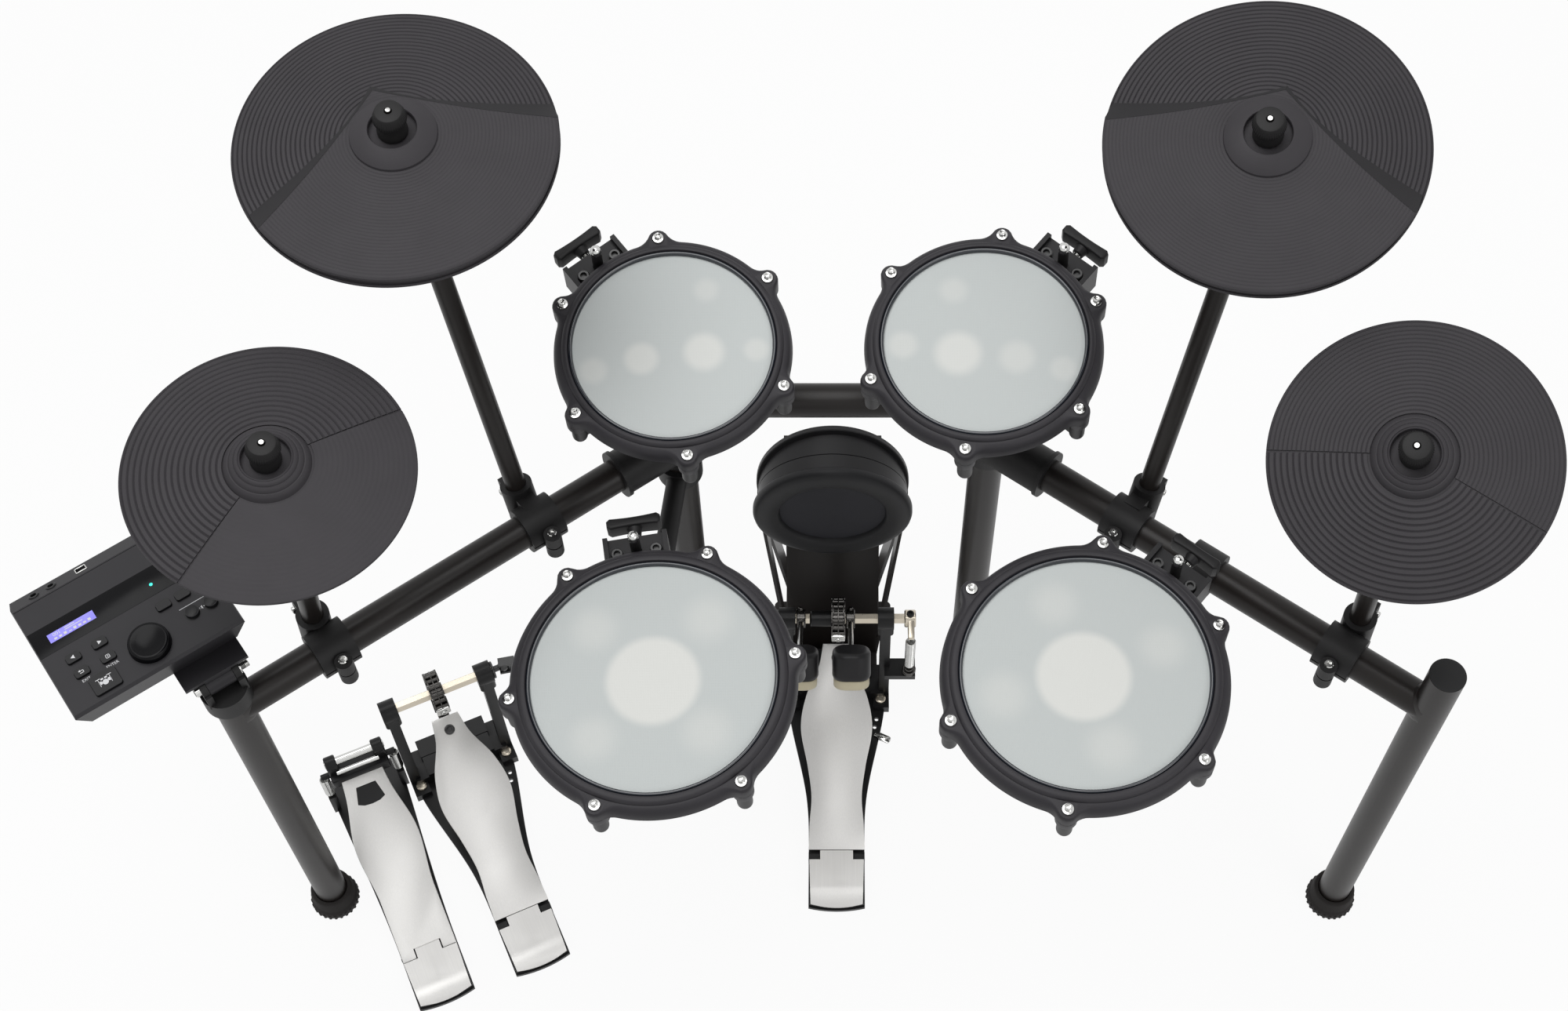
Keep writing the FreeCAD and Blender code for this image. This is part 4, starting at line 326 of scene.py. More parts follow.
dress(clamp_nylon, "left_clamps", "right_clamps", "pad_arms")
for side, wing in ((-1, "left"), (1, "right")):
    screws = bmesh.new()
    start = Vector((side * REAR_X, REAR_Y, BAR_Z))
    along = (Vector((side * FRONT_X, 0, BAR_Z)) - start).normalized()
    out = along.cross(UP) * -side
    boss = start + along * CORNER_BOSS_AT + out * BOSS_OUT
    socket_screw(screws, boss + UP * BOSS_TOP, UP, 5, 5)
    for name in (("crash_left", "hihat") if side < 0 else ("crash_right", "ride")):
        turn = joints[name + "_arm_turn"]
        grip = (rack.inverted() @ Vector(turn["pos_m"])) / MM
        lean = Vector(turn["axis"])
        forward = (out - lean * out.dot(lean)).normalized()
        sideways = lean.cross(forward)
        bolt_at = grip + forward * (SLEEVE_R + SLEEVE_LUG * 0.5)
        for way in (-1, 1):
            socket_screw(screws, bolt_at + sideways * (9 * way), sideways * way, 4.2, 4)
        boss = grip - out * (ARM_OFFSET + BOSS_OUT)
        socket_screw(screws, boss + UP * BOSS_TOP, UP, 5, 4)
    piece(wing + "_clamp_screws", screws, rack, chrome, wing + "_wing")


# Cymbal arms
# Bent steel tubes, powder coated like the rack and turned down to a plated stem that the cymbal rocks on.

BELL_R = 40.0
CUP_R = 22.5
RIM_T = 3.0
CYMBAL_T = 5.0
STEM_TIP_R = 2.8
NUT_R = 13.5
NUT_CAP_R = 16.0
NUT_SLEEVE_R = 14.5
NUT_CAP_H = 13.0
NUT_H = 32.0
NUT_LOW = 6.7
CYMBALS = {
    "crash_left": (152.5, 17.0, -141.3, 12.8),
    "crash_right": (152.5, 17.0, 166.0, 330.3),
    "hihat": (133.5, 15.0, -119.9, 32.1),
    "ride": (133.5, 15.0, 173.4, 326.5),
}


def cymbal_place(name):
    """Rim centre of a cymbal, its normal up and its rocking axis ahead."""
    spin = joints[name + "_nut_spin"]
    normal = Vector(spin["axis"])
    centre = Vector(spin["pos_m"]) - normal * ((CYMBALS[name][1] + 3) * MM)
    return seat(centre, normal, joints[name + "_rock"]["axis"])


for name, (rim_r, bow, first, last) in CYMBALS.items():
    dress(powder_coat, name + "_arm")
    tip = bow + NUT_LOW + NUT_H
    stem = bmesh.new()
    spun(stem, [
        (0, tip + 1.7), (STEM_TIP_R - 0.6, tip + 1.6), (STEM_TIP_R, tip + 1.0), (STEM_TIP_R + 0.1, tip - 4),
        (0, tip - 4),
    ], 20)
    piece(name + "_stem_tip", stem, cymbal_place(name), chrome, name + "_arm")


# Cymbal nuts
# Black moulded caps on a sleeve that stands in the bell, knurled round their lower edge.

KNURLS = 44
KNURL_ROOT = 0.955

# Soft-touch moulding: near-black and dull, so that only the knurls catch light.
nut_plastic = grained("moulded_nut_plastic", "#161616", "#1f1e1f", 0.55, 0.8, 0.03)
for name, (rim_r, bow, first, last) in CYMBALS.items():
    low = bow + NUT_LOW
    top = low + NUT_H
    cap = top - NUT_CAP_H
    nut = bmesh.new()
    spun(nut, [
        (STEM_TIP_R + 0.6, low), (STEM_TIP_R + 0.6, top - 0.4), (STEM_TIP_R + 1.2, top), (NUT_R - 3, top),
        (NUT_R - 1, top - 0.7), (NUT_R, top - 2.4), (NUT_CAP_R - 0.5, cap + 4.6), (NUT_CAP_R, cap + 3.6),
        (NUT_CAP_R, cap + 0.7), (NUT_CAP_R - 0.7, cap), (NUT_SLEEVE_R - 0.6, cap),
        (NUT_SLEEVE_R - 1.0, low + 7), (NUT_SLEEVE_R, low + 4), (NUT_SLEEVE_R, low + 0.8),
        (NUT_SLEEVE_R - 0.8, low), (STEM_TIP_R + 0.6, low),
    ], 2 * KNURLS)
    bmesh.ops.remove_doubles(nut, verts=nut.verts, dist=0.002)
    for vert in nut.verts:
        radius = math.hypot(vert.co.x, vert.co.y)
        tooth = round(math.atan2(vert.co.y, vert.co.x) / math.tau * 2 * KNURLS)
        if radius > NUT_CAP_R - 0.8 and vert.co.z < cap + 5 and tooth % 2:
            vert.co.x *= KNURL_ROOT
            vert.co.y *= KNURL_ROOT
    made = piece(name + "_nut_cap", nut, cymbal_place(name), nut_plastic, name + "_nut", 28)
    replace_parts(made, name + "_nut")


# Cymbals
# Moulded rubber over a stiff core, grooved like a turned cymbal. The crashes carry a raised playing bow
# with two sloping end walls; the hi-hat and the ride have two skins with a seam between them. A groove is
# given by its pitch and its depth.

HOLE_R = 5.6
RAISED = 11.0
RAISED_AT_BELL = 0.6
WALL_SLOPE = math.radians(63.0)
WALL_OUT = 15.0
WALL_CIRCLE = 46.0
WALL_SHADE_SKIN = 0.25
FLUSH = 0.9995
SKIN_T = 1.5
SEAM = 0.55
CRASH_GROOVE = (4.6, 1.1)
RAISED_GROOVE = (3.4, 0.3)
STRONG_GROOVE = (5.8, 1.15)
FAINT_GROOVES = {"hihat": (4.4, 0.16), "ride": (4.2, 0.6)}


def bow_height(radius, rim_r, bow):
    """Height of a cymbal's face over its rim."""
    share = (rim_r - radius) / (rim_r - BELL_R)
    return bow * (0.35 * math.sin(share * math.pi / 2) + 0.65 * share)


def grooves(inner, outer, pitch, depth, height):
    """Points across a grooved face: lands with a V between them."""
    count = round((outer - inner) / pitch)
    step = (outer - inner) / count
    points = []
    for k in range(count):
        for share, drop in ((0.0, 0.0), (0.56, 0.0), (0.78, depth)):
            radius = inner + (k + share) * step
            points.append((radius, height(radius) - drop))
    return points + [(outer, height(outer))]


def polar(radius, degrees, z=0.0):
    """Point at a radius and a bearing."""
    angle = math.radians(degrees)
    return Vector((radius * math.cos(angle), radius * math.sin(angle), z))


def core(bm, rim_r, bow, bell, face, sunk):
    """Whole cymbal revolved: hole, cup, bell, top face and underside."""
    floor = bow + 5
    half_way = (rim_r + BELL_R) / 2
    cup = [
        (HOLE_R, floor - 4), (HOLE_R, floor), (CUP_R - 1, floor), (CUP_R, floor + 0.6), (CUP_R, bow + 11),
    ]
    under = [
        (rim_r - 0.1, -0.7 - sunk), (rim_r, -1.4 - sunk), (rim_r, -RIM_T + 0.6), (rim_r - 0.8, -RIM_T),
        (half_way, bow_height(half_way, rim_r, bow) - CYMBAL_T), (BELL_R, bow - CYMBAL_T),
        (CUP_R + 5, floor - 4), (HOLE_R, floor - 4),
    ]
    spun(bm, cup + bell + face + under, 160)


def playing_bow(bm, rim_r, bow, first, last):
    """Adds a crash's raised front, a ring cut by two walls that run past the bell; gives the skin of painted
    shade over the walls.
    """
    def height(radius):
        share = (radius - BELL_R) / (rim_r - BELL_R)
        return bow_height(radius, rim_r, bow) + RAISED_AT_BELL + (RAISED - RAISED_AT_BELL) * share

    inner = BELL_R + 1
    crest = height(rim_r)
    profile = grooves(inner, rim_r - 1.6, *RAISED_GROOVE, height)
    profile += [(rim_r - 0.5, crest - 0.5), (rim_r + 0.1, crest - 1.6), (rim_r - 0.6, crest - 3.2),
                (rim_r - 3, -2.4), (inner, bow - 2.5), profile[0]]
    form = bmesh.new()
    spun(form, profile, 200)
    bmesh.ops.remove_doubles(form, verts=form.verts, dist=0.002)
    facings = []
    for bearing, turn in ((first, -1), (last, 1)):
        swing = bearing + turn * math.degrees(math.acos(WALL_CIRCLE / rim_r))
        at_rim = polar(rim_r, bearing) + polar(WALL_OUT, swing)
        at_bell = polar(WALL_CIRCLE, swing, bow_height(WALL_CIRCLE, rim_r, bow))
        along = (at_bell - at_rim).normalized()
        outward = polar(math.cos(WALL_SLOPE), swing, math.sin(WALL_SLOPE))
        outward -= along * outward.dot(along)
        facings.append(outward.normalized())
        geometry = form.verts[:] + form.edges[:] + form.faces[:]
        cut = bmesh.ops.bisect_plane(form, geom=geometry, plane_co=at_rim, plane_no=outward,
                                     clear_outer=True)
        rim = [part for part in cut["geom_cut"] if isinstance(part, bmesh.types.BMEdge)]
        bmesh.ops.contextual_create(form, geom=rim)
    form.normal_update()
    # Thin skin over the two walls that carries their painted shade.
    walls = bmesh.new()
    for outward in facings:
        for face in [face for face in form.faces if abs(face.normal.dot(outward)) > FLUSH]:
            walls.faces.new([walls.verts.new(vert.co + outward * WALL_SHADE_SKIN) for vert in face.verts])
    bmesh.ops.solidify(walls, geom=walls.faces[:], thickness=0.8 * WALL_SHADE_SKIN)
    join(bm, form)
    return walls


def skin(bm, rim_r, bow, inner, pitch, depth, first, last):
    """One grooved sector of a two-part cymbal face, from one bearing round to the other."""
    def height(radius):
        return bow_height(radius, rim_r, bow)

    profile = grooves(inner, rim_r - 1.2, pitch, depth, height)
    profile += [(rim_r - 0.3, -0.2), (rim_r, -0.9), (rim_r, -SKIN_T - 0.3),
                (inner, height(inner) - SKIN_T - 0.3)]
    verts = [bm.verts.new((radius, 0, z)) for radius, z in profile]
    bmesh.ops.rotate(bm, verts=verts, cent=(0, 0, 0), matrix=Matrix.Rotation(math.radians(first), 3, "Z"))
    section = bm.faces.new(verts)
    sweep = last - first
    bmesh.ops.spin(bm, geom=[section] + section.edges[:] + verts, cent=(0, 0, 0), axis=UP,
                   angle=math.radians(sweep), steps=round(sweep / 2))


# Moulded rubber skin: matt charcoal, a little lighter where it is played, with a fine moulding grain.
cymbal_rubber = grained("moulded_cymbal_rubber", "#343235", "#3d3b3e", 0.62, 1.1, 0.05)
# Painted shade on the end walls of the playing bow: the same rubber, smoother and darker, laid as a skin
# over walls that face away from the light.
wall_shade_rubber = grained("painted_wall_shade_rubber", "#201f21", "#262527", 0.62, 1.1, 0.02)
for name, (rim_r, bow, first, last) in CYMBALS.items():
    bm = bmesh.new()
    if name.startswith("crash"):
        bell = [(CUP_R + 0.6, bow + 11.9), (25, bow + 11.7), (28, bow + 10.6), (33, bow + 8.2),
                (37.5, bow + 5.4), (40.4, bow + 3.0), (41, bow + 0.4)]

        def face_height(radius):
            return bow_height(radius, rim_r, bow)

        core(bm, rim_r, bow, bell, grooves(BELL_R + 2, rim_r - 1, *CRASH_GROOVE, face_height), 0)
        walls = playing_bow(bm, rim_r, bow, first, last)
        # The darker skin over the walls is painted shade.
        piece(name + "_walls", walls, cymbal_place(name), wall_shade_rubber, name + "_cymbal")
    else:
        bell = [(CUP_R + 0.6, bow + 11.8)]
        for ridge in range(3):
            for share, rise in ((0.0, 0.0), (0.2, 0.9), (0.5, 1.1), (0.8, 0.7), (0.96, -0.3)):
                along = (ridge + share) / 3
                bell.append((24.2 + along * 14.8, bow + 11.2 - 10.6 * along ** 1.4 + rise))

        def sunk_height(radius):
            return bow_height(radius, rim_r, bow) - SKIN_T

        face = [(40.0, sunk_height(40.0))] + [(r, sunk_height(r)) for r in (60, 85, 110, rim_r - 1)]
        core(bm, rim_r, bow, bell, face, SKIN_T - 0.4)
        faint = FAINT_GROOVES[name]
        front, back = (faint, STRONG_GROOVE) if name == "hihat" else (STRONG_GROOVE, faint)
        skin(bm, rim_r, bow, 42.4, *front, first + SEAM, last - SEAM)
        skin(bm, rim_r, bow, 40.4, *back, last + SEAM, first + 360 - SEAM)
    made = piece(name + "_rubber", bm, cymbal_place(name), cymbal_rubber, name + "_cymbal",
                 24)
    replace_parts(made, name + "_cymbal")


# Drum pad shells
# Moulded plastic cups with six lug posts and a bent steel bracket that grips the mounting rod. Two black
# socket screws hold the bracket, and a plated cap ends the rod.

ROD_OUT = 17.0
ROD_TOP = 12.0
ROD_R = 5.5
BRACKET_Z = -24.0
PADS = {
    "tom_left": (102.0, 114.0, 122.5, "rack"),
    "tom_right": (102.0, 114.0, 122.5, "rack"),
    "snare": (120.0, 134.0, 141.5, "rack"),
    "floor_tom": (120.0, 134.0, 141.5, "right_wing"),
}


def pad_place(name):
    """Head centre of a pad, its normal up and its mount ahead."""
    swivel = joints[name + "_swivel"]
    normal = Vector(swivel["axis"])
    ahead = Vector(joints[name + "_bolt_turn"]["axis"])
    out = PADS[name][1] + ROD_OUT
    return seat(Vector(swivel["pos_m"]) - (ahead * out + normal * ROD_TOP) * MM, normal, ahead)


# Moulded ABS: satin black with a faint spark-eroded texture.
shell_plastic = grained("moulded_abs_black", "#1a1a1b", "#242325", 0.42, 0.8, 0.03)
for name, (head_r, hoop_r, bolt_r, carrier) in PADS.items():
    dress(shell_plastic, name + "_shell")
    screws = bmesh.new()
    for side in (-1, 1):
        socket_screw(screws, (hoop_r + 15, side * 20, BRACKET_Z), UP, 6.5, 6)
    piece(name + "_bracket_screws", screws, pad_place(name), black_steel, name + "_pad")
    cap = bmesh.new()
    spun(cap, [
        (0, ROD_TOP + 3.2), (2.6, ROD_TOP + 2.8), (4.6, ROD_TOP + 1.4), (ROD_R + 0.2, ROD_TOP - 0.8),
        (ROD_R + 0.2, ROD_TOP - 7), (0, ROD_TOP - 7),
    ], 24, Matrix.Translation((hoop_r + ROD_OUT, 0, 0)))
    piece(name + "_rod_cap", cap, pad_place(name), chrome, carrier)


# Hoops
# Steel hoops covered with moulded rubber that flares out to its skirt, with six rounded ears for the
# tension bolts and round caps below them over the lug posts. A glossy bead presses on the mesh head.

EAR_R = 11.0
EAR_BLEND = 20.0
HOOP_FLARE = 8.5
HOOP_SKIRT = 16.0
HOOP_WALL = 6.0
HOOP_LIP = 5.5
HOOP_TOP = 1.5
LUG_CAP = 28.0
LUG_CAP_R = 11.0
AROUND = 288
# Share of the flare, inset and height of each outline up the outer side.
HOOP_SIDE = [
    (1.0, 1.4, -HOOP_SKIRT), (1.0, 0.0, -HOOP_SKIRT + 1.4), (0.92, 0.0, -8), (0.68, 0.0, -2.4),
    (0.45, 0.6, 0.2), (0.25, 2.0, HOOP_TOP),
]


def ear_ring(hoop_r, bolt_r, inset, z):
    """Outline of a hoop with its six ears, set in from the full outline."""
    round_r = hoop_r - inset
    ear_r = EAR_R - inset
    blend_r = EAR_BLEND + inset
    to_blend = round_r + blend_r
    spread = math.acos((to_blend ** 2 + bolt_r ** 2 - (ear_r + blend_r) ** 2) / (2 * to_blend * bolt_r))
    share = ear_r / (ear_r + blend_r)
    meet_x = bolt_r + (to_blend * math.cos(spread) - bolt_r) * share
    meet = math.atan2(to_blend * math.sin(spread) * share, meet_x)
    ring = []
    for k in range(AROUND):
        angle = math.tau * k / AROUND
        off = abs(angle % (math.pi / 3) - math.pi / 6)
        if off >= spread:
            radius = round_r
        elif off <= meet:
            radius = bolt_r * math.cos(off) + math.sqrt(ear_r ** 2 - (bolt_r * math.sin(off)) ** 2)
        else:
            beside = spread - off
            aside = to_blend * math.sin(beside)
            radius = to_blend * math.cos(beside) - math.sqrt(blend_r ** 2 - aside ** 2)
        ring.append((radius * math.cos(angle), radius * math.sin(angle), z))
    return ring


def circle(radius, z):
    """Round outline with as many points as a hoop's."""
    return [(radius * math.cos(math.tau * k / AROUND), radius * math.sin(math.tau * k / AROUND), z)
            for k in range(AROUND)]


def bolt_place(bolt_r, k):
    """Place of one of the six tension bolts of a pad."""
    return Matrix.Translation(polar(bolt_r, 30 + 60 * k))


# Rubber hoop cover: matt charcoal with a soft half-gloss along its edges.
hoop_rubber = grained("moulded_hoop_rubber", "#29282b", "#333135", 0.5, 0.9, 0.04)
# Lacquered bead: glossy blue-black, so that it draws a thin bright line round the head.
bead_lacquer = grained("lacquered_steel_bead", "#10151d", "#18202b", 0.16, 12.0, 0.01, {"Coat Weight": 0.5})
for name, (head_r, hoop_r, bolt_r, carrier) in PADS.items():
    cover = bmesh.new()
    rings = [circle(hoop_r - HOOP_WALL, -HOOP_SKIRT)]
    for share, inset, z in HOOP_SIDE:
        rings.append(ear_ring(hoop_r + HOOP_FLARE * share, bolt_r, inset, z))
    loft(cover, rings + [circle(hoop_r - HOOP_WALL, HOOP_TOP)])
    spun(cover, [
        (head_r + 4.3, -1), (head_r + 4.3, 3.6), (head_r + 5.2, HOOP_LIP - 0.3), (head_r + 6.4, HOOP_LIP),
        (hoop_r - 4.2, HOOP_LIP), (hoop_r - 2.2, HOOP_LIP - 0.9), (hoop_r - 1, 3), (hoop_r - 0.5, 1.2),
        (hoop_r - 0.5, -1), (head_r + 4.3, -1),
    ], 144)
    for k in range(6):
        spun(cover, [
            (0, -LUG_CAP), (LUG_CAP_R - 3, -LUG_CAP), (LUG_CAP_R - 0.8, -LUG_CAP + 1),
            (LUG_CAP_R, -LUG_CAP + 3.4), (LUG_CAP_R, -HOOP_SKIRT + 1), (0, -HOOP_SKIRT + 1),
        ], 32, bolt_place(bolt_r, k))
    made = piece(name + "_hoop_cover", cover, pad_place(name), hoop_rubber, name + "_pad", 40)
    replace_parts(made, name + "_hoop")
    bead = bmesh.new()
    spun(bead, [
        (head_r, 0.15), (head_r, 2.4), (head_r + 0.8, 4.2), (head_r + 2.1, 4.9), (head_r + 3.4, 4.3),
        (head_r + 4.3, 3.0), (head_r + 4.3, 0.15), (head_r, 0.15),
    ], 144)
    piece(name + "_bead", bead, pad_place(name), bead_lacquer, name + "_pad", 60)


# Tension bolts
# Plated key bolts through the hoop's ears into the lug posts, each on a cup washer.

for name, (head_r, hoop_r, bolt_r, carrier) in PADS.items():
    bolts = bmesh.new()
    for k in range(6):
        spun(bolts, [
            (0, 7.2), (1.7, 7.2), (1.9, 9.4), (2.7, 9.7), (3.5, 8.9), (3.7, 4.4), (5.6, 4.0), (6.2, 2.6),
            (6.2, 1.3), (0, 1.3),
        ], 24, bolt_place(bolt_r, k))
    piece(name + "_tension_bolts", bolts, pad_place(name), chrome, name + "_pad")


# Mesh heads
# Two plies of woven polyester mesh pulled over the shell by the hoop. Its colour is lighter in soft round
# patches at listed places on each head.

HEAD_SAG = 0.35
WEAVE = 1.7
GLOWS = {
    "tom_left": [(0.32, 220, 0.26, 0.5, 0.8), (0.34, 76, 0.22, 0.5, 0.7), (0.83, 71, 0.19, 0.6, 0.5),
                 (0.84, 229, 0.17, 0.6, 0.5), (0.7, 294, 0.18, 0.7, 0.4)],
    "tom_right": [(0.29, 156, 0.3, 0.5, 0.8), (0.37, 281, 0.24, 0.6, 0.5), (0.81, 132, 0.2, 0.6, 0.5),
                  (0.84, 288, 0.18, 0.6, 0.4), (0.65, 67, 0.2, 0.7, 0.4)],
    "snare": [(0.03, 180, 0.43, 0.22, 1.0), (0.66, 40, 0.28, 0.8, 0.4), (0.7, 130, 0.28, 0.8, 0.4),
              (0.66, 215, 0.3, 0.8, 0.4), (0.68, 310, 0.3, 0.8, 0.4)],
    "floor_tom": [(0.03, 180, 0.43, 0.22, 1.0), (0.66, 60, 0.28, 0.8, 0.4), (0.7, 145, 0.3, 0.8, 0.4),
                  (0.66, 235, 0.3, 0.8, 0.4), (0.68, 330, 0.28, 0.8, 0.4)],
}


def mesh_weave(name, centre, head_r, glows):
    """Woven mesh with lighter glows, each a share of the radius, bearing, size, softness and strength."""
    finish = {"Roughness": 0.45, "Specular IOR Level": SHEEN}
    material, tree, shader, place = blank("woven_polyester_mesh_" + name, finish)
    light = None
    for share, bearing, size, fade, strength in glows:
        at = centre @ (polar(share * head_r, bearing) * MM)
        radius = size * head_r
        far = add(tree, "ShaderNodeVectorMath", {"operation": "DISTANCE", 1: at}, {0: place})
        edge = {"interpolation_type": "SMOOTHSTEP", "From Min": radius * MM,
                "From Max": radius * (1 - fade) * MM, "To Max": strength}
        soft = add(tree, "ShaderNodeMapRange", edge, {"Value": far.outputs["Value"]})
        if light is None:
            light = soft
        else:
            light = add(tree, "ShaderNodeMath", {"operation": "MAXIMUM"},
                        {0: light.outputs[0], 1: soft.outputs[0]})
    shade = add(tree, "ShaderNodeMix", {"data_type": "RGBA", 6: linear("#c6cbca"), 7: linear("#e0e1dd")},
                {0: light.outputs[0]})
    threads = {"Scale": 0.314 / (WEAVE * MM)}
    warp = add(tree, "ShaderNodeTexWave", {"bands_direction": "X", **threads}, {"Vector": place})
    weft = add(tree, "ShaderNodeTexWave", {"bands_direction": "Y", **threads}, {"Vector": place})
    woven = add(tree, "ShaderNodeMath", {"operation": "MULTIPLY"},
                {0: warp.outputs["Fac"], 1: weft.outputs["Fac"]})
    bump = add(tree, "ShaderNodeBump", {"Distance": 0.05 * MM}, {"Height": woven.outputs[0]})
    tree.links.new(shade.outputs[2], shader.inputs["Base Color"])
    tree.links.new(bump.outputs[0], shader.inputs["Normal"])
    return material


# Woven polyester mesh: pale grey-green, lighter in soft patches, with a weave drawn coarser than it is.
for name, (head_r, hoop_r, bolt_r, carrier) in PADS.items():
    edge_r = hoop_r - HOOP_WALL - 0.4
    head = bmesh.new()
    spun(head, [
        (0, -HEAD_SAG), (head_r * 0.4, -HEAD_SAG * 0.84), (head_r * 0.8, -HEAD_SAG * 0.36), (edge_r, 0),
    ], 96)
    weave = mesh_weave(name, pad_place(name), head_r, GLOWS[name])
    made = piece(name + "_mesh", head, pad_place(name), weave, name + "_pad")
    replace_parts(made, name + "_head")


# Wing bolts
# Moulded T-shaped grips on plated screws that lock each pad to its rod.

WING_HALF = 28.0
WING_TALL = 21.0
WING_T = 10.0
WING_END_T = 13.0
WING_HUB_L = 20.0
WING_AT = 43.0
WING_Z = -41.0
THREAD_DROP = 0.6


def plate(bm, outline, low, high, edge, place=Matrix(), segments=2):
    """Flat shape raised from low to high with rounded edges."""
    form = bmesh.new()
    face = form.faces.new([form.verts.new((x, y, low)) for x, y in outline])
    raised = bmesh.ops.extrude_face_region(form, geom=[face])["geom"]
    top = [part for part in raised if isinstance(part, bmesh.types.BMVert)]
    bmesh.ops.translate(form, vec=(0, 0, high - low), verts=top)
    if edge:
        edges = [e for e in form.edges if abs(e.verts[0].co.z - e.verts[1].co.z) < 1e-6]
        bmesh.ops.bevel(form, geom=edges, offset=edge, offset_type="OFFSET", segments=segments, profile=0.5,
                        affect="EDGES", clamp_overlap=True, material=-1)
    join(bm, form, place)


def screw_thread(root_r, crest_r, top, pitch, turns):
    """Profile of a thread from its top down: a root and a crest for each turn."""
    points = []
    for turn in range(turns):
        points += [(root_r, top - turn * pitch), (crest_r, top - THREAD_DROP - turn * pitch)]
    return points


# Glass-filled nylon grip: matt black, slightly lighter on its worn edges.
grip_nylon = grained("nylon_grip", "#151516", "#1e1d1e", 0.5, 0.8, 0.04)
for name, (head_r, hoop_r, bolt_r, carrier) in PADS.items():
    start = hoop_r + WING_AT
    grip = bmesh.new()
    bar_at = start + WING_HUB_L - WING_END_T / 2
    bar = []
    for k in range(-8, 9):
        share = k / 8
        swell = WING_END_T / 2 + (WING_T - WING_END_T) / 2 * (1 - share * share)
        bar.append((share * WING_HALF, swell if abs(k) < 8 else swell - 3.2))
    front = [(bar_at + swell, y) for y, swell in reversed(bar)]
    back = [(bar_at - swell, y) for y, swell in bar]
    plate(grip, front + back, WING_Z - WING_TALL / 2, WING_Z + WING_TALL / 2, 2.4, Matrix(), 3)
    spun(grip, [(0, 9), (8.2, 9), (7.4, 6), (6.6, 3), (6.4, 0.8), (5.6, 0), (0, 0)], 32,
         seat((start, 0, WING_Z), ACROSS))
    made = piece(name + "_wing_grip", grip, pad_place(name), grip_nylon, name + "_wing_bolt")
    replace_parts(made, name + "_wing_bolt")
    shank = bmesh.new()
    thread = screw_thread(3.2, 3.9, 0.5, 1.25, 20)
    spun(shank, [(0, 0.5)] + thread + [(0, -24.6)], 20, seat((start, 0, WING_Z), ACROSS))
    piece(name + "_wing_screw", shank, pad_place(name), chrome, name + "_wing_bolt", 60)


# Sound module
# Moulded plastic case with a glossy band that holds the display. Sockets sit in the sloping rear edge,
# and the marks are printed in white on the face and on the rubber keys.

MODULE_W = 185.0
DIAL_AT = (4.1, -49.8)
BAND = (-3.0, 29.0)
SCREEN = (-75.0, 7.5, -25.5, 18.0)
REAR_EDGE_Y = 61.0
KEYS = {
    "left_arrow_button": [(-64.0, -20.0)],
    "right_arrow_button": [(-35.8, -20.0)],
    "exit_button": [(-64.0, -39.0)],
    "enter_button": [(-35.8, -39.0)],
    "function_buttons": [(34.9, -19.0), (55.7, -19.0)],
    "kit_button": [(-49.8, -61.4)],
}
KEY_H = 3.0
KNOBS = [(54.7, -42.5), (75.2, -42.5)]
JACKS_X = (-65.7, -47.0)
PORT_X = -14.0
SOCKET_Y = 70.5
SOCKET_Z = -6.0
PRINT = 0.12

dial = joints["dial_turn"]
module_x = Vector(joints["module_tilt"]["axis"])
module_up = Vector(dial["axis"])
module_y = module_up.cross(module_x)
dial_off = (module_x * DIAL_AT[0] + module_y * DIAL_AT[1]) * MM
module = seat(Vector(dial["pos_m"]) - dial_off, module_up, module_x)


def words(bm, text, size, x, y, z):
    """Flat letters centred on a point."""
    font = bpy.data.curves.new(text, "FONT")
    font.body = text
    font.size = size
    font.align_x = "CENTER"
    font.align_y = "CENTER"
    holder = bpy.data.objects.new(text, font)
    bpy.context.collection.objects.link(holder)
    bpy.context.view_layer.update()
    flat = bpy.data.meshes.new_from_object(holder)
    flat.transform(Matrix.Translation((x, y, z)))
    bm.from_mesh(flat)
    bpy.data.objects.remove(holder)
    bpy.data.curves.remove(font)
    bpy.data.meshes.remove(flat)


def strip(bm, x0, y0, x1, y1, z):
    """Thin printed bar."""
    slab(bm, (x0, y0, z), (x1, y1, z + PRINT), 0.02, Matrix(), 1)


def wedge(bm, x, y, z, size, turn):
    """Printed triangle that points along a bearing."""
    corners = [polar(size, turn + 120 * k) for k in range(3)]
    plate(bm, [(x + c.x, y + c.y) for c in corners], z, z + PRINT, 0)


def dot(bm, x, y, z, radius):
    """Printed disc."""
    spun(bm, [(0, z), (0, z + PRINT), (radius, z + PRINT), (radius, z), (0, z)], 28,
         Matrix.Translation((x, y, 0)))


def lit(name, roughness, strength, dark, light, grain):
    """Glowing screen or lens with soft clouds of two shades in its light; the grain is in millimetres."""
    material, tree, shader, place = blank(name, {"Roughness": roughness, "Emission Strength": strength})
    haze = add(tree, "ShaderNodeTexNoise", {"Scale": 1 / (grain * MM), "Detail": 1.0}, {"Vector": place})
    colours = {"data_type": "RGBA", 6: linear(dark), 7: linear(light)}
    glow = add(tree, "ShaderNodeMix", colours, {0: haze.outputs["Fac"]})
    tree.links.new(glow.outputs[2], shader.inputs["Base Color"])
    tree.links.new(glow.outputs[2], shader.inputs["Emission Color"])
    return material


# Moulded ABS case: dark grey, satin, with a fine texture.
case_plastic = grained("moulded_abs_case", "#242326", "#2b2a2d", 0.45, 0.7, 0.03)
# Acrylic window: polished black with a few soft smears.
window_acrylic = grained("polished_acrylic", "#08080a", "#0d0d10", 0.22, 18.0, 0.004,
                         {"Specular IOR Level": 0.12})
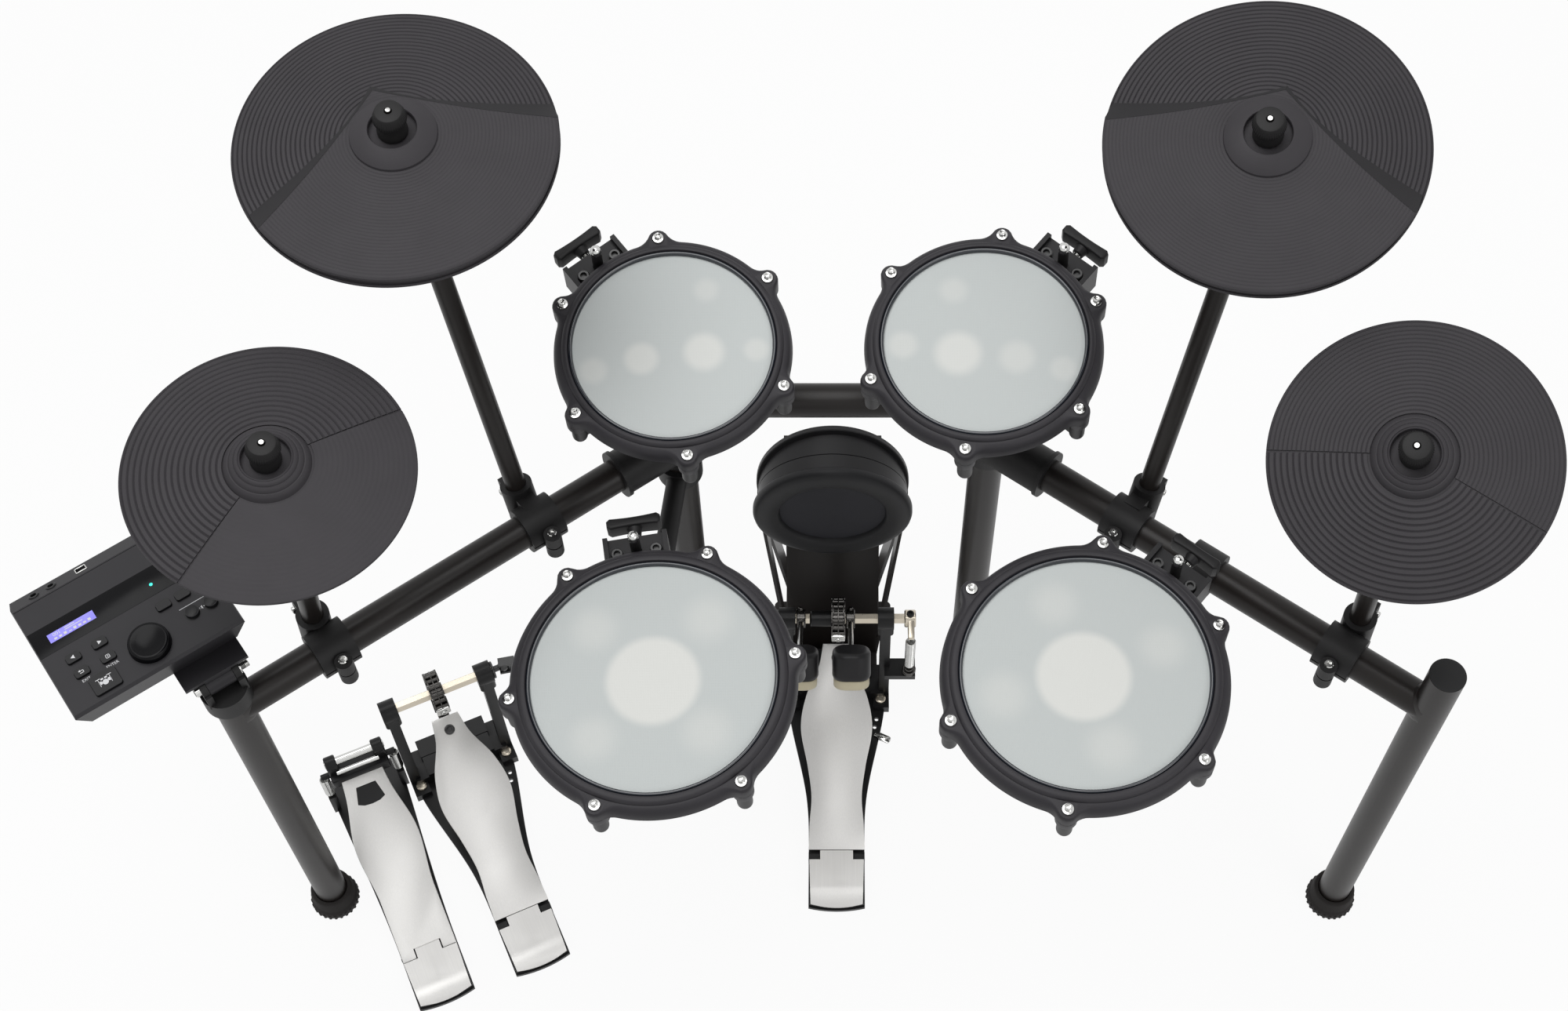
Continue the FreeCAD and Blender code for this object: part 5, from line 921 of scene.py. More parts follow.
# Silicone rubber keys: almost black, with a soft sheen.
key_rubber = grained("silicone_rubber", "#121213", "#19191b", 0.38, 0.9, 0.02)
# Screen-printed ink: opaque white, faintly uneven.
ink = grained("screen_printed_ink", "#dcdde0", "#efeff1", 0.5, 0.5, 0.01)
# Backlit display: violet-blue light, a little uneven across the screen.
display_light = lit("backlit_display", 0.3, 0.55, "#6f69c8", "#8f8ae2", 14.0)
# Indicator lens: teal light through a milky cap.
lamp_lens = lit("lit_lens", 0.25, 1.0, "#18b9a8", "#3fe0cf", 2.0)

dress(case_plastic, "module_case")
dress(key_rubber, *KEYS)
band = bmesh.new()
slab(band, (-MODULE_W / 2 + 1.2, BAND[0], -0.4), (MODULE_W / 2 - 1.2, BAND[1], 0.3), 0.25, Matrix(), 2)
piece("module_window", band, module, window_acrylic, "module")
screen = bmesh.new()
slab(screen, (SCREEN[0], SCREEN[1], 0), (SCREEN[2], SCREEN[3], 0.42), 0.1, Matrix(), 1)
piece("module_display", screen, module, display_light, "module")
led = bmesh.new()
spun(led, [(0, 0.9), (1.4, 0.75), (2.0, 0.2), (0, 0.2)], 20, Matrix.Translation((35.5, 9.8, 0)))
piece("module_lamp", led, module, lamp_lens, "module")

marks = bmesh.new()
words(marks, "001", 5.6, -65.5, 14.6, 0.5)
for column in range(8):
    tall = 1.2 + 2.6 * abs(math.sin(1.9 * column + 0.6))
    strip(marks, -70 + column * 5.2, 9.0, -67 + column * 5.2, 9.0 + tall * 0.8, 0.42)
strip(marks, -57, 13.4, -38, 14.3, 0.42)
strip(marks, -57, 15.6, -46, 16.5, 0.42)
words(marks, "EXIT", 4.4, -64.0, -48.2, PRINT)
words(marks, "ENTER", 4.4, -35.8, -48.2, PRINT)
strip(marks, 45, -33.2, 73, -32.5, 0)
wedge(marks, 64.6, -42.5, 0, 2.4, 180)
strip(marks, 62.2, -43.3, 64.4, -41.7, 0)
dot(marks, 67.6, -42.5, 0, 0.6)
piece("module_print", marks, module, ink, "module")

sockets = bmesh.new()
bevel_up = Vector((0, 12, 19)).normalized()
for x in JACKS_X:
    spun(sockets, [(3.1, -2), (3.1, 0.7), (3.6, 1.1), (5.0, 1.1), (5.8, 0.5), (5.8, -0.6), (3.1, -2)], 28,
         seat((x, SOCKET_Y, SOCKET_Z), bevel_up))
piece("module_jacks", sockets, module, key_rubber, "module")
port = bmesh.new()
for low, high in (
    ((-6, -5.5, -1), (6, -4.5, 0.7)), ((-6, 4.5, -1), (6, 5.5, 0.7)), ((-6, -5.5, -1), (-5, 5.5, 0.7)),
    ((5, -5.5, -1), (6, 5.5, 0.7)), ((-3, -1.6, -8.8), (3, 1.6, -1.5)),
):
    slab(port, low, high, 0.15, seat((PORT_X, SOCKET_Y, SOCKET_Z), bevel_up), 1)
piece("module_port", port, module, chrome, "module")
seam = bmesh.new()
slab(seam, (-MODULE_W / 2 + 1.5, REAR_EDGE_Y - 2.0, -0.3), (MODULE_W / 2 - 1.5, REAR_EDGE_Y - 1.3, 0.08),
     0.03, Matrix(), 1)
piece("module_seam", seam, module, window_acrylic, "module")
knobs = bmesh.new()
for x, y in KNOBS:
    spun(knobs, [
        (0, 4.3), (5.2, 4.4), (6.6, 3.9), (7.2, 2.9), (7.2, 0.1), (9.0, 0.1), (9.0, -0.2), (0, -0.2),
    ], 36, Matrix.Translation((x, y, 0)))
piece("module_knobs", knobs, module, key_rubber, "module")


def key_mark(name, bars=(), wedges=(), dots=()):
    """Prints a mark on a key: bars by two corners, triangles and discs by their middles, from its centre."""
    mark = bmesh.new()
    (x, y), = KEYS[name]
    for x0, y0, x1, y1 in bars:
        strip(mark, x + x0, y + y0, x + x1, y + y1, KEY_H)
    for at_x, at_y, size, turn in wedges:
        wedge(mark, x + at_x, y + at_y, KEY_H, size, turn)
    for at_x, at_y, radius in dots:
        dot(mark, x + at_x, y + at_y, KEY_H, radius)
    piece(name + "_mark", mark, module, ink, name)


# Key marks: a triangle each way, a return arrow, an arrow into a box, and a small drum kit.
key_mark("left_arrow_button", wedges=[(0, 0, 2.6, 180)])
key_mark("right_arrow_button", wedges=[(0, 0, 2.6, 0)])
key_mark("exit_button", bars=[(-2.2, -2.0, 1.8, -1.3), (1.4, -2.0, 2.1, 1.0), (-1.4, 0.6, 2.1, 1.3)],
         wedges=[(-1.8, 0.95, 1.5, 180)])
key_mark("enter_button", bars=[
    (-2.2, -2.2, 2.2, -1.6), (-2.2, 1.6, 2.2, 2.2), (1.6, -2.2, 2.2, 2.2), (-2.2, -2.2, -1.6, 2.2),
], wedges=[(0.2, 0, 1.1, 180)])
key_mark("kit_button", bars=[
    (-3.4, 2.2, -0.6, 4.0), (0.6, 2.2, 3.4, 4.0), (-8.4, 4.2, -3.6, 4.9), (3.6, 4.2, 8.4, 4.9),
    (-6.2, -4.6, -5.7, 4.4), (5.7, -4.6, 6.2, 4.4),
], dots=[(0, -1.6, 3.0), (-4.6, -0.6, 1.9), (4.6, -0.6, 1.9)])


# Dial
# Glossy moulded wheel with a dished top, set in a round well.

dial_cap = bmesh.new()
spun(dial_cap, [
    (0, 6.6), (7, 6.8), (13, 7.6), (16.8, 8.9), (18.6, 9.0), (20.2, 8.0), (20.9, 6.2), (21, -3.6), (0, -3.6),
], 72, Matrix.Translation((*DIAL_AT, 0)))
made = piece("module_dial_wheel", dial_cap, module, window_acrylic, "module_dial", 50)
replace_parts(made, "module_dial")


# Tilt screw
# Plated screw that pins the module's tongue in the fork on the left leg.

FORK_HALF = 22.0

tilt = joints["module_tilt"]
screw = bmesh.new()
thread = screw_thread(3.6, 4.3, 10.8, 1.2, 8)
spun(screw, [(0, 11)] + thread + [(4.3, 1.0), (7.4, 1.0), (7.4, -1.0), (0, -1.0)], 24,
     seat(ACROSS * FORK_HALF, ACROSS))
spun(screw, [(0, 6), (3.4, 6), (5.6, 5), (5.6, -1), (0, -1)], 24, seat(ACROSS * -FORK_HALF, -ACROSS))
piece("tilt_screw", screw, seat(Vector(tilt["pos_m"]), UP, tilt["axis"]), chrome, "left_wing")


# Kick tower and pad
# Folded steel tower, powder coated, with a moulded drum pad: a rubber ring round a cloth-backed rubber
# face, on a plastic barrel. The face stands upright, and the barrel runs back to a rim that leans with
# the tower's panel.

KICK_CENTRE = Vector((0, 361, 340))
KICK_LEAN = math.radians(13.0)
KICK_R = 96.0
KICK_FACE_R = 64.5
KICK_RIM_R = 92.0
KICK_BODY_R = 90.0
KICK_DEPTH = 52.0
KICK_RIM_T = 9.0
KICK_FRONT = Vector((0, 361, 322))
KICK_SEAM = -34.0

kick = rack @ seat(KICK_FRONT * MM, -AWAY, ACROSS)
dress(powder_coat, "kick_tower")
# Rubber pad ring: smooth and dull, catching one broad highlight.
kick_rubber = grained("moulded_pad_rubber", "#1b1b1d", "#242426", 0.5, 1.2, 0.03)
# Rubber face on woven backing: a shade lighter and flatter than its ring.
face_rubber = grained("cloth_backed_rubber", "#26262a", "#2e2e33", 0.68, 0.9, 0.08)
face = bmesh.new()
spun(face, [
    (KICK_FACE_R - 1, -6.6), (KICK_FACE_R + 0.2, -4.6), (KICK_FACE_R + 1.2, -1.4), (KICK_FACE_R + 3.5, 0),
    (KICK_R - 9, 0), (KICK_R - 4, -0.9), (KICK_R - 1.2, -3.2), (KICK_R, -6.5), (KICK_R, -11.5),
    (KICK_R - 1.2, -13.4), (KICK_R - 3, -14), (KICK_FACE_R - 1, -14), (KICK_FACE_R - 1, -6.6),
], 128)
made = piece("kick_pad_ring", face, kick, kick_rubber, "rack", 50)
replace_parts(made, "kick_pad_face")
disc = bmesh.new()
spun(disc, [
    (0, -6.0), (KICK_FACE_R * 0.6, -6.1), (KICK_FACE_R - 0.5, -6.6), (KICK_FACE_R - 0.5, -10), (0, -10),
], 96)
piece("kick_pad_centre", disc, kick, face_rubber, "rack")
housing = bmesh.new()
barrel = bmesh.new()
spun(barrel, [
    (0, -13.8), (KICK_BODY_R - 1, -13.8), (KICK_BODY_R, -14.8), (KICK_BODY_R, KICK_SEAM + 0.6),
    (KICK_BODY_R - 1, KICK_SEAM), (KICK_BODY_R, KICK_SEAM - 0.6), (KICK_BODY_R, -80),
], 128)
bmesh.ops.remove_doubles(barrel, verts=barrel.verts, dist=0.002)
leaning = Vector((0, math.sin(KICK_LEAN), math.cos(KICK_LEAN)))
centre = Vector((0, KICK_CENTRE.z - KICK_FRONT.z, KICK_FRONT.y - KICK_CENTRE.y))
bmesh.ops.bisect_plane(barrel, geom=barrel.verts[:] + barrel.edges[:] + barrel.faces[:], clear_outer=True,
                       plane_co=centre - leaning * (KICK_DEPTH - KICK_RIM_T + 1), plane_no=-leaning)
join(housing, barrel)
rim_top = -KICK_DEPTH + KICK_RIM_T
spun(housing, [
    (0, rim_top), (KICK_RIM_R - 1, rim_top), (KICK_RIM_R, rim_top - 1), (KICK_RIM_R, -KICK_DEPTH + 2),
    (KICK_RIM_R - 2, -KICK_DEPTH), (0, -KICK_DEPTH),
], 128, seat(centre, leaning, ACROSS))
made = piece("kick_pad_housing", housing, kick, shell_plastic, "rack", 40)
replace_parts(made, "kick_pad_shell")


# Pedal bases
# Pressed steel floor plates with cast posts bolted to them, finished in black. A thin brushed plate
# covers each heel and leaves a black edge at the back.

HINGE_U = 68.0
HINGE_Z = 15.0
HINGE_R = 4.6
HEEL_W = 70.0
HEEL_END = 61.0
HEEL_TOP = 19.7
HEEL_DROOP = 26.0
HEEL_CURVE = 35.0
HEEL_ARC = 4.0
HEEL_T = 1.0
HEEL_TONGUES = {"kick": (20.5, 73.0), "slave": (20.5, 73.0), "hihat": (15.5, 74.3)}
BOARD_ANGLE = math.radians(17.5)
BOARD_T = 5.0
SHAFT_U = 313.0
SHAFT_Z = 186.0
POST_V = 61.0
POST_FOOT_Z = 14.0
FOOT_BOLT_U = 284.0
FOOT_BOLT_V = 57.0


def pedal_place(hinge):
    """Heel of a pedal on the floor, its toe ahead."""
    left = Vector(hinge["axis"])
    ahead = left.cross(UP)
    return seat(Vector(hinge["pos_m"]) - (ahead * HINGE_U + UP * HINGE_Z) * MM, UP, ahead)


def brushed(name, dark, light, roughness, turn):
    """Metal brushed along one direction: fine stretched noise moves its shade, gloss and surface."""
    material, tree, shader, place = blank(name, {"Metallic": 1.0, "Anisotropic": 0.2})
    stretch = Vector((1 / (60 * MM), 1 / (0.7 * MM), 1 / (0.7 * MM)))
    along = {"vector_type": "TEXTURE", "Rotation": (0, 0, turn)}
    lines = add(tree, "ShaderNodeMapping", along, {"Vector": place})
    scaled = add(tree, "ShaderNodeMapping", {"Scale": stretch}, {"Vector": lines.outputs[0]})
    brush = add(tree, "ShaderNodeTexNoise", {"Scale": 1.0, "Detail": 3.0}, {"Vector": scaled.outputs[0]})
    shade = add(tree, "ShaderNodeMix", {"data_type": "RGBA", 6: linear(dark), 7: linear(light)},
                {0: brush.outputs["Fac"]})
    spread = {"To Min": roughness - 0.05, "To Max": roughness + 0.05}
    gloss = add(tree, "ShaderNodeMapRange", spread, {"Value": brush.outputs["Fac"]})
    bump = add(tree, "ShaderNodeBump", {"Distance": 0.01 * MM}, {"Height": brush.outputs["Fac"]})
    tree.links.new(shade.outputs[2], shader.inputs["Base Color"])
    tree.links.new(gloss.outputs[0], shader.inputs["Roughness"])
    tree.links.new(bump.outputs[0], shader.inputs["Normal"])
    return material


def heel_plate(bm, tongue_half, tongue_end):
    """Thin plate over the heel: a tongue in front, level behind it, curving down to a bowed rear edge."""
    rows = [HEEL_END * k / 20 for k in range(21)] + [tongue_end]
    columns = [-HEEL_W / 2 + 1, -HEEL_W / 2 + 2.5] + [tongue_half * k / 6 for k in range(-6, 7)]
    columns += [HEEL_W / 2 - 2.5, HEEL_W / 2 - 1]
    form = bmesh.new()
    bmesh.ops.create_grid(form, x_segments=len(rows) - 1, y_segments=len(columns) - 1, size=1)
    for vert in form.verts:
        u = rows[round((vert.co.x + 1) / 2 * (len(rows) - 1))]
        v = columns[round((vert.co.y + 1) / 2 * (len(columns) - 1))]
        behind = max(1 - u / HEEL_END, 0)
        u += (1.5 + HEEL_ARC * (2 * v / HEEL_W) ** 2) * behind
        drop = max(HEEL_DROOP - u, 0)
        z = HEEL_TOP - HEEL_CURVE + math.sqrt(HEEL_CURVE ** 2 - drop ** 2)
        vert.co = (u, v * (1 - 0.05 * behind), z)
    beside = [face for face in form.faces if face.calc_center_median().x > HEEL_END
              and abs(face.calc_center_median().y) > tongue_half]
    bmesh.ops.delete(form, geom=beside, context="FACES")
    bmesh.ops.recalc_face_normals(form, faces=form.faces)
    raised = bmesh.ops.extrude_face_region(form, geom=form.faces[:])["geom"]
    top = [part for part in raised if isinstance(part, bmesh.types.BMVert)]
    bmesh.ops.translate(form, vec=(0, 0, HEEL_T), verts=top)
    join(bm, form)


PEDALS = {"kick": joints["kick_footboard_hinge"], "slave": joints["slave_footboard_hinge"],
          "hihat": joints["hihat_footboard_hinge"]}
# Black enamel on pressed steel: half gloss, with a light orange peel.
pedal_enamel = grained("black_enamelled_steel", "#101011", "#19191a", 0.38, 1.2, 0.03)
# Brushed aluminium: fine lines and a broad streaked sheen. Each pedal has its own, because the brushing
# runs along its board.
brushed_boards = {}
for name, hinge in PEDALS.items():
    ahead = Vector(hinge["axis"]).cross(UP)
    turn = math.atan2(ahead.y, ahead.x)
    brushed_boards[name] = brushed("brushed_aluminium_" + name, "#bcbbb9", "#cecdcb", 0.46, turn)
    dress(pedal_enamel, name + "_pedal_base")
    heel = bmesh.new()
    heel_plate(heel, *HEEL_TONGUES[name])
    piece(name + "_heel_plate", heel, pedal_place(hinge), brushed_boards[name], "rack")

# Nickel-zinc plate with a warm champagne tint: satin metal.
champagne = grained("champagne_zinc_plate", "#b9b0a0", "#cfc7b8", 0.3, 3.0, 0.006, {"Metallic": 1.0})
for name in ("kick", "slave"):
    bolts = bmesh.new()
    for v in (-FOOT_BOLT_V, FOOT_BOLT_V):
        spun(bolts, [(0, -1), (6.6, -1), (6.6, 2.6), (6.0, 3.4), (4.2, 3.9), (3.9, 3.1), (0, 3.1)], 32,
             Matrix.Translation((FOOT_BOLT_U, v, POST_FOOT_Z)))
    piece(name + "_foot_bolts", bolts, pedal_place(PEDALS[name]), champagne, "rack")


# Footboards
# Brushed aluminium boards, waisted and rounded, hinged at the heel.

BOARD_LEN = 267.0
# Stations along a board with its half width, and the points of its hinged end.
BASS_BOARD = ([(2, 35), (36, 34), (74, 31.6), (112, 36.5), (160, 45), (200, 38.5), (238, 22.5),
               (BOARD_LEN, 17)], [(7.1, 35.0)])
BOARDS = {
    "kick": BASS_BOARD,
    "slave": BASS_BOARD,
    "hihat": ([(2, 34), (72, 34), (146, 40), (206, 29), (236, 26)],
              [(7.6, 17.0), (-4.4, 17.0), (-4.4, 34.0)]),
}


def board_outline(stations, end):
    """Both sides of a board through its (length, half width) stations, from the points of its hinged end."""
    knots = [Vector((u, w, 0)) for u, w in stations]
    curve = [knots[0]]
    for k in range(1, len(knots) - 1):
        a, b = knots[k], knots[k + 1]
        ahead_a = (b - knots[k - 1]).normalized() if k > 1 else (a - knots[0]).normalized()
        ahead_b = (knots[k + 2] - a).normalized() if k + 2 < len(knots) else (b - a).normalized()
        third = (b - a).length / 3
        curve += interpolate_bezier(a, a + ahead_a * third, b - ahead_b * third, b, 14)[:-1]
    curve.append(knots[-1])
    side = end + [(p.x, p.y) for p in curve if p.x > end[-1][0] + 1]
    return [(u, -w) for u, w in side] + [(u, w) for u, w in reversed(side)]


def board_place(hinge):
    """Hinge line of a pedal, with X along its board at rest."""
    hinge_at = Matrix.Translation((HINGE_U * MM, 0, HINGE_Z * MM))
    return pedal_place(hinge) @ hinge_at @ Matrix.Rotation(-BOARD_ANGLE, 4, "Y")


for name, hinge in PEDALS.items():
    board = bmesh.new()
    plate(board, board_outline(*BOARDS[name]), HINGE_R - BOARD_T, HINGE_R + 0.2, 0.7)
    piece(name + "_board", board, board_place(hinge), brushed_boards[name], name + "_footboard")
window = bmesh.new()
plate(window, [(218, -12.5), (218, 12.5), (197, 17.5), (193.5, 10), (192.5, 0), (193.5, -10), (197, -17.5)],
      HINGE_R - 1, HINGE_R + 0.5, 0.2, Matrix(), 1)
piece("hihat_board_window", window, board_place(PEDALS["hihat"]), pedal_enamel, "hihat_footboard")


# Chains and cams
# Double-row roller chain of dark nickelled steel, wrapped over a round cam and held by a plated clamp
# block. The straight run hangs down to a clip under the footboard.

CAM_R = 22.0
CAM_W = 15.0
CHAIN_PITCH = 9.0
CHAIN_ROLLER_R = 2.6
CHAIN_W = 17.0
CHAIN_PLATE_T = 1.4
CHAIN_PLATE_H = 6.4
CHAIN_SEAT = 0.8
CHAIN_FROM = 14.0
CHAIN_LINKS = 8
CHAIN_OPEN = 5.0
CLAMP_LEAD = 20.0
CAM_AT = {"kick": -2.0, "slave": 0.0}


def rounded(half_x, half_y, radius):
    """Outline of a rectangle with round corners."""
    outline = []
    for quarter, (x, y) in enumerate(((1, 1), (-1, 1), (-1, -1), (1, -1))):
        for step in range(7):
            turn = polar(radius, 90 * quarter + 15 * step)
            outline.append((x * (half_x - radius) + turn.x, y * (half_y - radius) + turn.y))
    return outline


def rod(bm, start, end, radius, steps=24, edge=0.6):
    """Round bar between two points with softened ends; six steps give a hexagon."""
    along = Vector(end) - Vector(start)
    length = along.length
    spun(bm, [
        (0, 0), (radius - edge, 0), (radius, edge), (radius, length - edge), (radius - edge, length),
        (0, length),
    ], steps, seat(start, along))


def chain(bm, points):
    """Links through points: a roller at each pin, and inner and outer plates by turns."""
    half = CHAIN_W / 2
    for at in points:
        rod(bm, at - AWAY * half, at + AWAY * half, CHAIN_ROLLER_R, 12, 0.3)
    end_r = CHAIN_PLATE_H / 2
    for k in range(len(points) - 1):
        a, b = points[k], points[k + 1]
        reach = (b - a).length / 2
        outline = [polar(end_r, 90 - 30 * s) + ACROSS * reach for s in range(7)]
        outline += [polar(end_r, 270 - 30 * s) - ACROSS * reach for s in range(7)]
        side = [(point.x, point.y) for point in outline]
        link = seat((a + b) / 2, AWAY, b - a)
        inset = CHAIN_PLATE_T if k % 2 else 0
        for row in (-half + inset, -CHAIN_PLATE_T / 2, half - CHAIN_PLATE_T - inset):
            plate(bm, side, row, row + CHAIN_PLATE_T, 0.25, link, 1)


def shaft_point(v, reach=0.0, degrees=0.0):
    """Point beside the shaft of a pedal, by distance and angle round it."""
    angle = math.radians(degrees)
    return Vector((SHAFT_U + reach * math.cos(angle), v, SHAFT_Z + reach * math.sin(angle)))


# Black-nickel plate: dark mirror with brighter worn edges.
black_nickel = grained("black_nickel_steel", "#3a3938", "#5a5856", 0.26, 2.0, 0.01, {"Metallic": 1.0})

wrap_r = CAM_R + CHAIN_ROLLER_R - CHAIN_SEAT
wrap_step = math.degrees(2 * math.asin(CHAIN_PITCH / 2 / wrap_r))
for name, body in (("kick", "kick_beater"), ("slave", "slave_cam")):
    v = CAM_AT[name]
    place = pedal_place(PEDALS[name])
    wrap = bmesh.new()
    chain(wrap, [shaft_point(v, wrap_r, CHAIN_FROM + k * wrap_step) for k in range(CHAIN_LINKS)])
    spun(wrap, [(6, -CAM_W / 2), (CAM_R - 1, -CAM_W / 2), (CAM_R, -CAM_W / 2 + 1), (CAM_R, CAM_W / 2 - 1),
                (CAM_R - 1, CAM_W / 2), (6, CAM_W / 2), (6, -CAM_W / 2)], 48, seat(shaft_point(v), AWAY))
    piece(name + "_cam_chain", wrap, place, black_nickel, body)
    clip = bmesh.new()
    end_at = CHAIN_FROM + (CHAIN_LINKS - 1) * wrap_step + CLAMP_LEAD
    radial = shaft_point(0, 1, end_at) - shaft_point(0)
    clamp_at = seat(shaft_point(v, CAM_R - 1, end_at), radial, AWAY)
    plate(clip, rounded(CAM_W / 2 + 1, 8.5, 2), 0, 6.5, 1.0, clamp_at, 2)
    socket_screw(clip, clamp_at @ Vector((0, 0, 6.3)), radial, 4.4, 2.4)
    piece(name + "_chain_clamp", clip, place, chrome, body)
    toe_u = HINGE_U + BOARD_LEN * math.cos(BOARD_ANGLE)
    toe_z = HINGE_Z + BOARD_LEN * math.sin(BOARD_ANGLE)
    chain_u = SHAFT_U + CAM_R + CHAIN_PLATE_H / 2 + 0.8
    clip_low = toe_z - BOARD_T - 7
    run_start = clip_low + 4 + CHAIN_ROLLER_R - CHAIN_SEAT
    links = int((SHAFT_Z - CHAIN_OPEN - run_start) / CHAIN_PITCH)
    run = bmesh.new()
    chain(run, [Vector((chain_u, v, run_start + k * CHAIN_PITCH)) for k in range(links + 1)])
    slab(run, (toe_u - 22, v - 7, clip_low), (chain_u + 4, v + 7, clip_low + 4), 0.8)
    slab(run, (toe_u - 22, v - 7, clip_low), (toe_u - 14, v + 7, toe_z - 4), 0.8)
    made = piece(name + "_chain_run", run, place, black_nickel, name + "_footboard")
    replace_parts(made, name + "_footboard")
    bolt = bmesh.new()
    socket_screw(bolt, (BOARD_LEN - 18, 0, HINGE_R), UP, 6.5, 2.6)
    piece(name + "_toe_bolt", bolt, board_place(PEDALS[name]), black_steel, name + "_footboard")


# Shafts and beaters
# Hexagonal plated shafts run through the posts' bearings. Each beater has a plastic shell in front and a
# felt pad behind, on a bright rod held by a hub. A drum key is parked beside the main pedal's board.

SHAFT_R = 6.5
SPLIT_V = 33.0
LEVER_V = -92.0
LEVER_REACH = 22.0
HUB_R = 12.0
HUB_W = 11.0
KICK_SLEEVE_R = 10.0
KEY_AT = Vector((231, -61, 9))
KEY_WING = Vector((-0.5, -1, 0))
BEATER_REACH = 165.0
BEATER_REST = 136.0
JOINT_V = 86.4
BEATERS = {"kick_beater": -17.0, "second_beater": 44.0}

# Pressed felt: cream, with short matted fibres.
felt = grained("pressed_felt", "#cfc4a4", "#e2d9bf", 0.95, 1.4, 0.25, {"Sheen Weight": 0.3})
kick_pedal = pedal_place(PEDALS["kick"])
slave_pedal = pedal_place(PEDALS["slave"])

shaft = bmesh.new()
rod(shaft, shaft_point(SPLIT_V - 0.8), shaft_point(LEVER_V - 6), SHAFT_R + 0.3, 6, 0.4)
rod(shaft, shaft_point(LEVER_V - 6), shaft_point(LEVER_V + 8), 11, 32, 1.2)
made = piece("kick_shaft", shaft, kick_pedal, champagne, "kick_beater", 25)
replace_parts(made, "kick_beater")
lever = bmesh.new()
tip = LEVER_REACH + 6
lever_side = [(-4, -9), (-4, 9), (-tip + 5, 5), (-tip, 3), (-tip, -3), (-tip + 5, -5)]
plate(lever, lever_side, LEVER_V - 4, LEVER_V + 4, 1.2, seat(shaft_point(0), AWAY, ACROSS))
key = bmesh.new()
rod(key, KEY_AT + Vector((6, 12, -1)), KEY_AT, 2.6, 20, 0.5)
plate(key, rounded(9, 5, 4), -1.6, 1.6, 0.8, seat(KEY_AT, UP, KEY_WING), 2)
piece("kick_drum_key", key, kick_pedal, chrome, "rack")
piece("kick_spring_lever", lever, kick_pedal, champagne, "kick_beater")
lock = bmesh.new()
socket_screw(lock, shaft_point(LEVER_V + 1) + UP * 10.5, UP, 4.6, 4)
rod(lock, shaft_point(CAM_AT["kick"] + CAM_W / 2), shaft_point(SPLIT_V - 0.8), KICK_SLEEVE_R, 32, 1.0)
piece("kick_sleeve", lock, kick_pedal, pedal_enamel, "kick_beater")
shaft = bmesh.new()
rod(shaft, shaft_point(SPLIT_V), shaft_point(POST_V + 13), SHAFT_R + 0.3, 6, 0.4)
made = piece("second_shaft", shaft, kick_pedal, champagne, "second_beater", 25)
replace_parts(made, "second_beater")
shaft = bmesh.new()
rod(shaft, shaft_point(POST_V + 7), shaft_point(-POST_V - 13), SHAFT_R + 0.3, 6, 0.4)
made = piece("slave_shaft", shaft, slave_pedal, champagne, "slave_cam", 25)
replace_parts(made, "slave_cam")
for name, place, side in (("second_beater", kick_pedal, 1), ("slave_cam", slave_pedal, -1)):
    knuckle = bmesh.new()
    rod(knuckle, shaft_point(side * (POST_V + 10.4)), shaft_point(side * (POST_V + 13.4)), 11, 28, 0.6)
    rod(knuckle, shaft_point(side * (POST_V + 13)), shaft_point(side * JOINT_V), 4, 20, 0.4)
    bmesh.ops.create_uvsphere(knuckle, u_segments=24, v_segments=14, radius=7,
                              matrix=Matrix.Translation(shaft_point(side * JOINT_V)))
    piece(name + "_joint_ball", knuckle, place, black_steel, name)

for name, v in BEATERS.items():
    angle = math.radians(BEATER_REST)
    reach = Vector((math.cos(angle), 0, math.sin(angle)))
    forward = Vector((math.sin(angle), 0, -math.cos(angle)))
    head_at = shaft_point(v) + reach * BEATER_REACH
    hub = bmesh.new()
    rod(hub, shaft_point(v - HUB_W / 2), shaft_point(v + HUB_W / 2), HUB_R, 40, 1.0)
    socket_screw(hub, shaft_point(v) + forward * (HUB_R - 0.5), forward, 3.4, 3)
    piece(name + "_hub", hub, kick_pedal, black_nickel, name)
    stick = bmesh.new()
    rod(stick, shaft_point(v) + reach * 8, head_at, 3.2, 24, 0.4)
    piece(name + "_rod", stick, kick_pedal, chrome, name)
    head_place = seat(head_at, forward, reach)
    cap = bmesh.new()
    plate(cap, rounded(21, 22.5, 16), -17, 19, 7.0, head_place, 5)
    piece(name + "_shell", cap, kick_pedal, shell_plastic, name)
    pad = bmesh.new()
    plate(pad, rounded(19.5, 21, 15), -27, -14, 4.5, head_place, 4)
    piece(name + "_felt", pad, kick_pedal, felt, name)

dress(black_steel, "drive_shaft")


# Springs
# Close-wound plated steel wire: one return spring beside the main pedal's right post, and two under the
# hi-hat pedal's yoke.

SPRING_R = 5.5
SPRING_WIRE_R = 0.9
HIHAT_REACH = 246.0
SPRING_POST_V = 45.0
SPRING_POST_H = 42.0


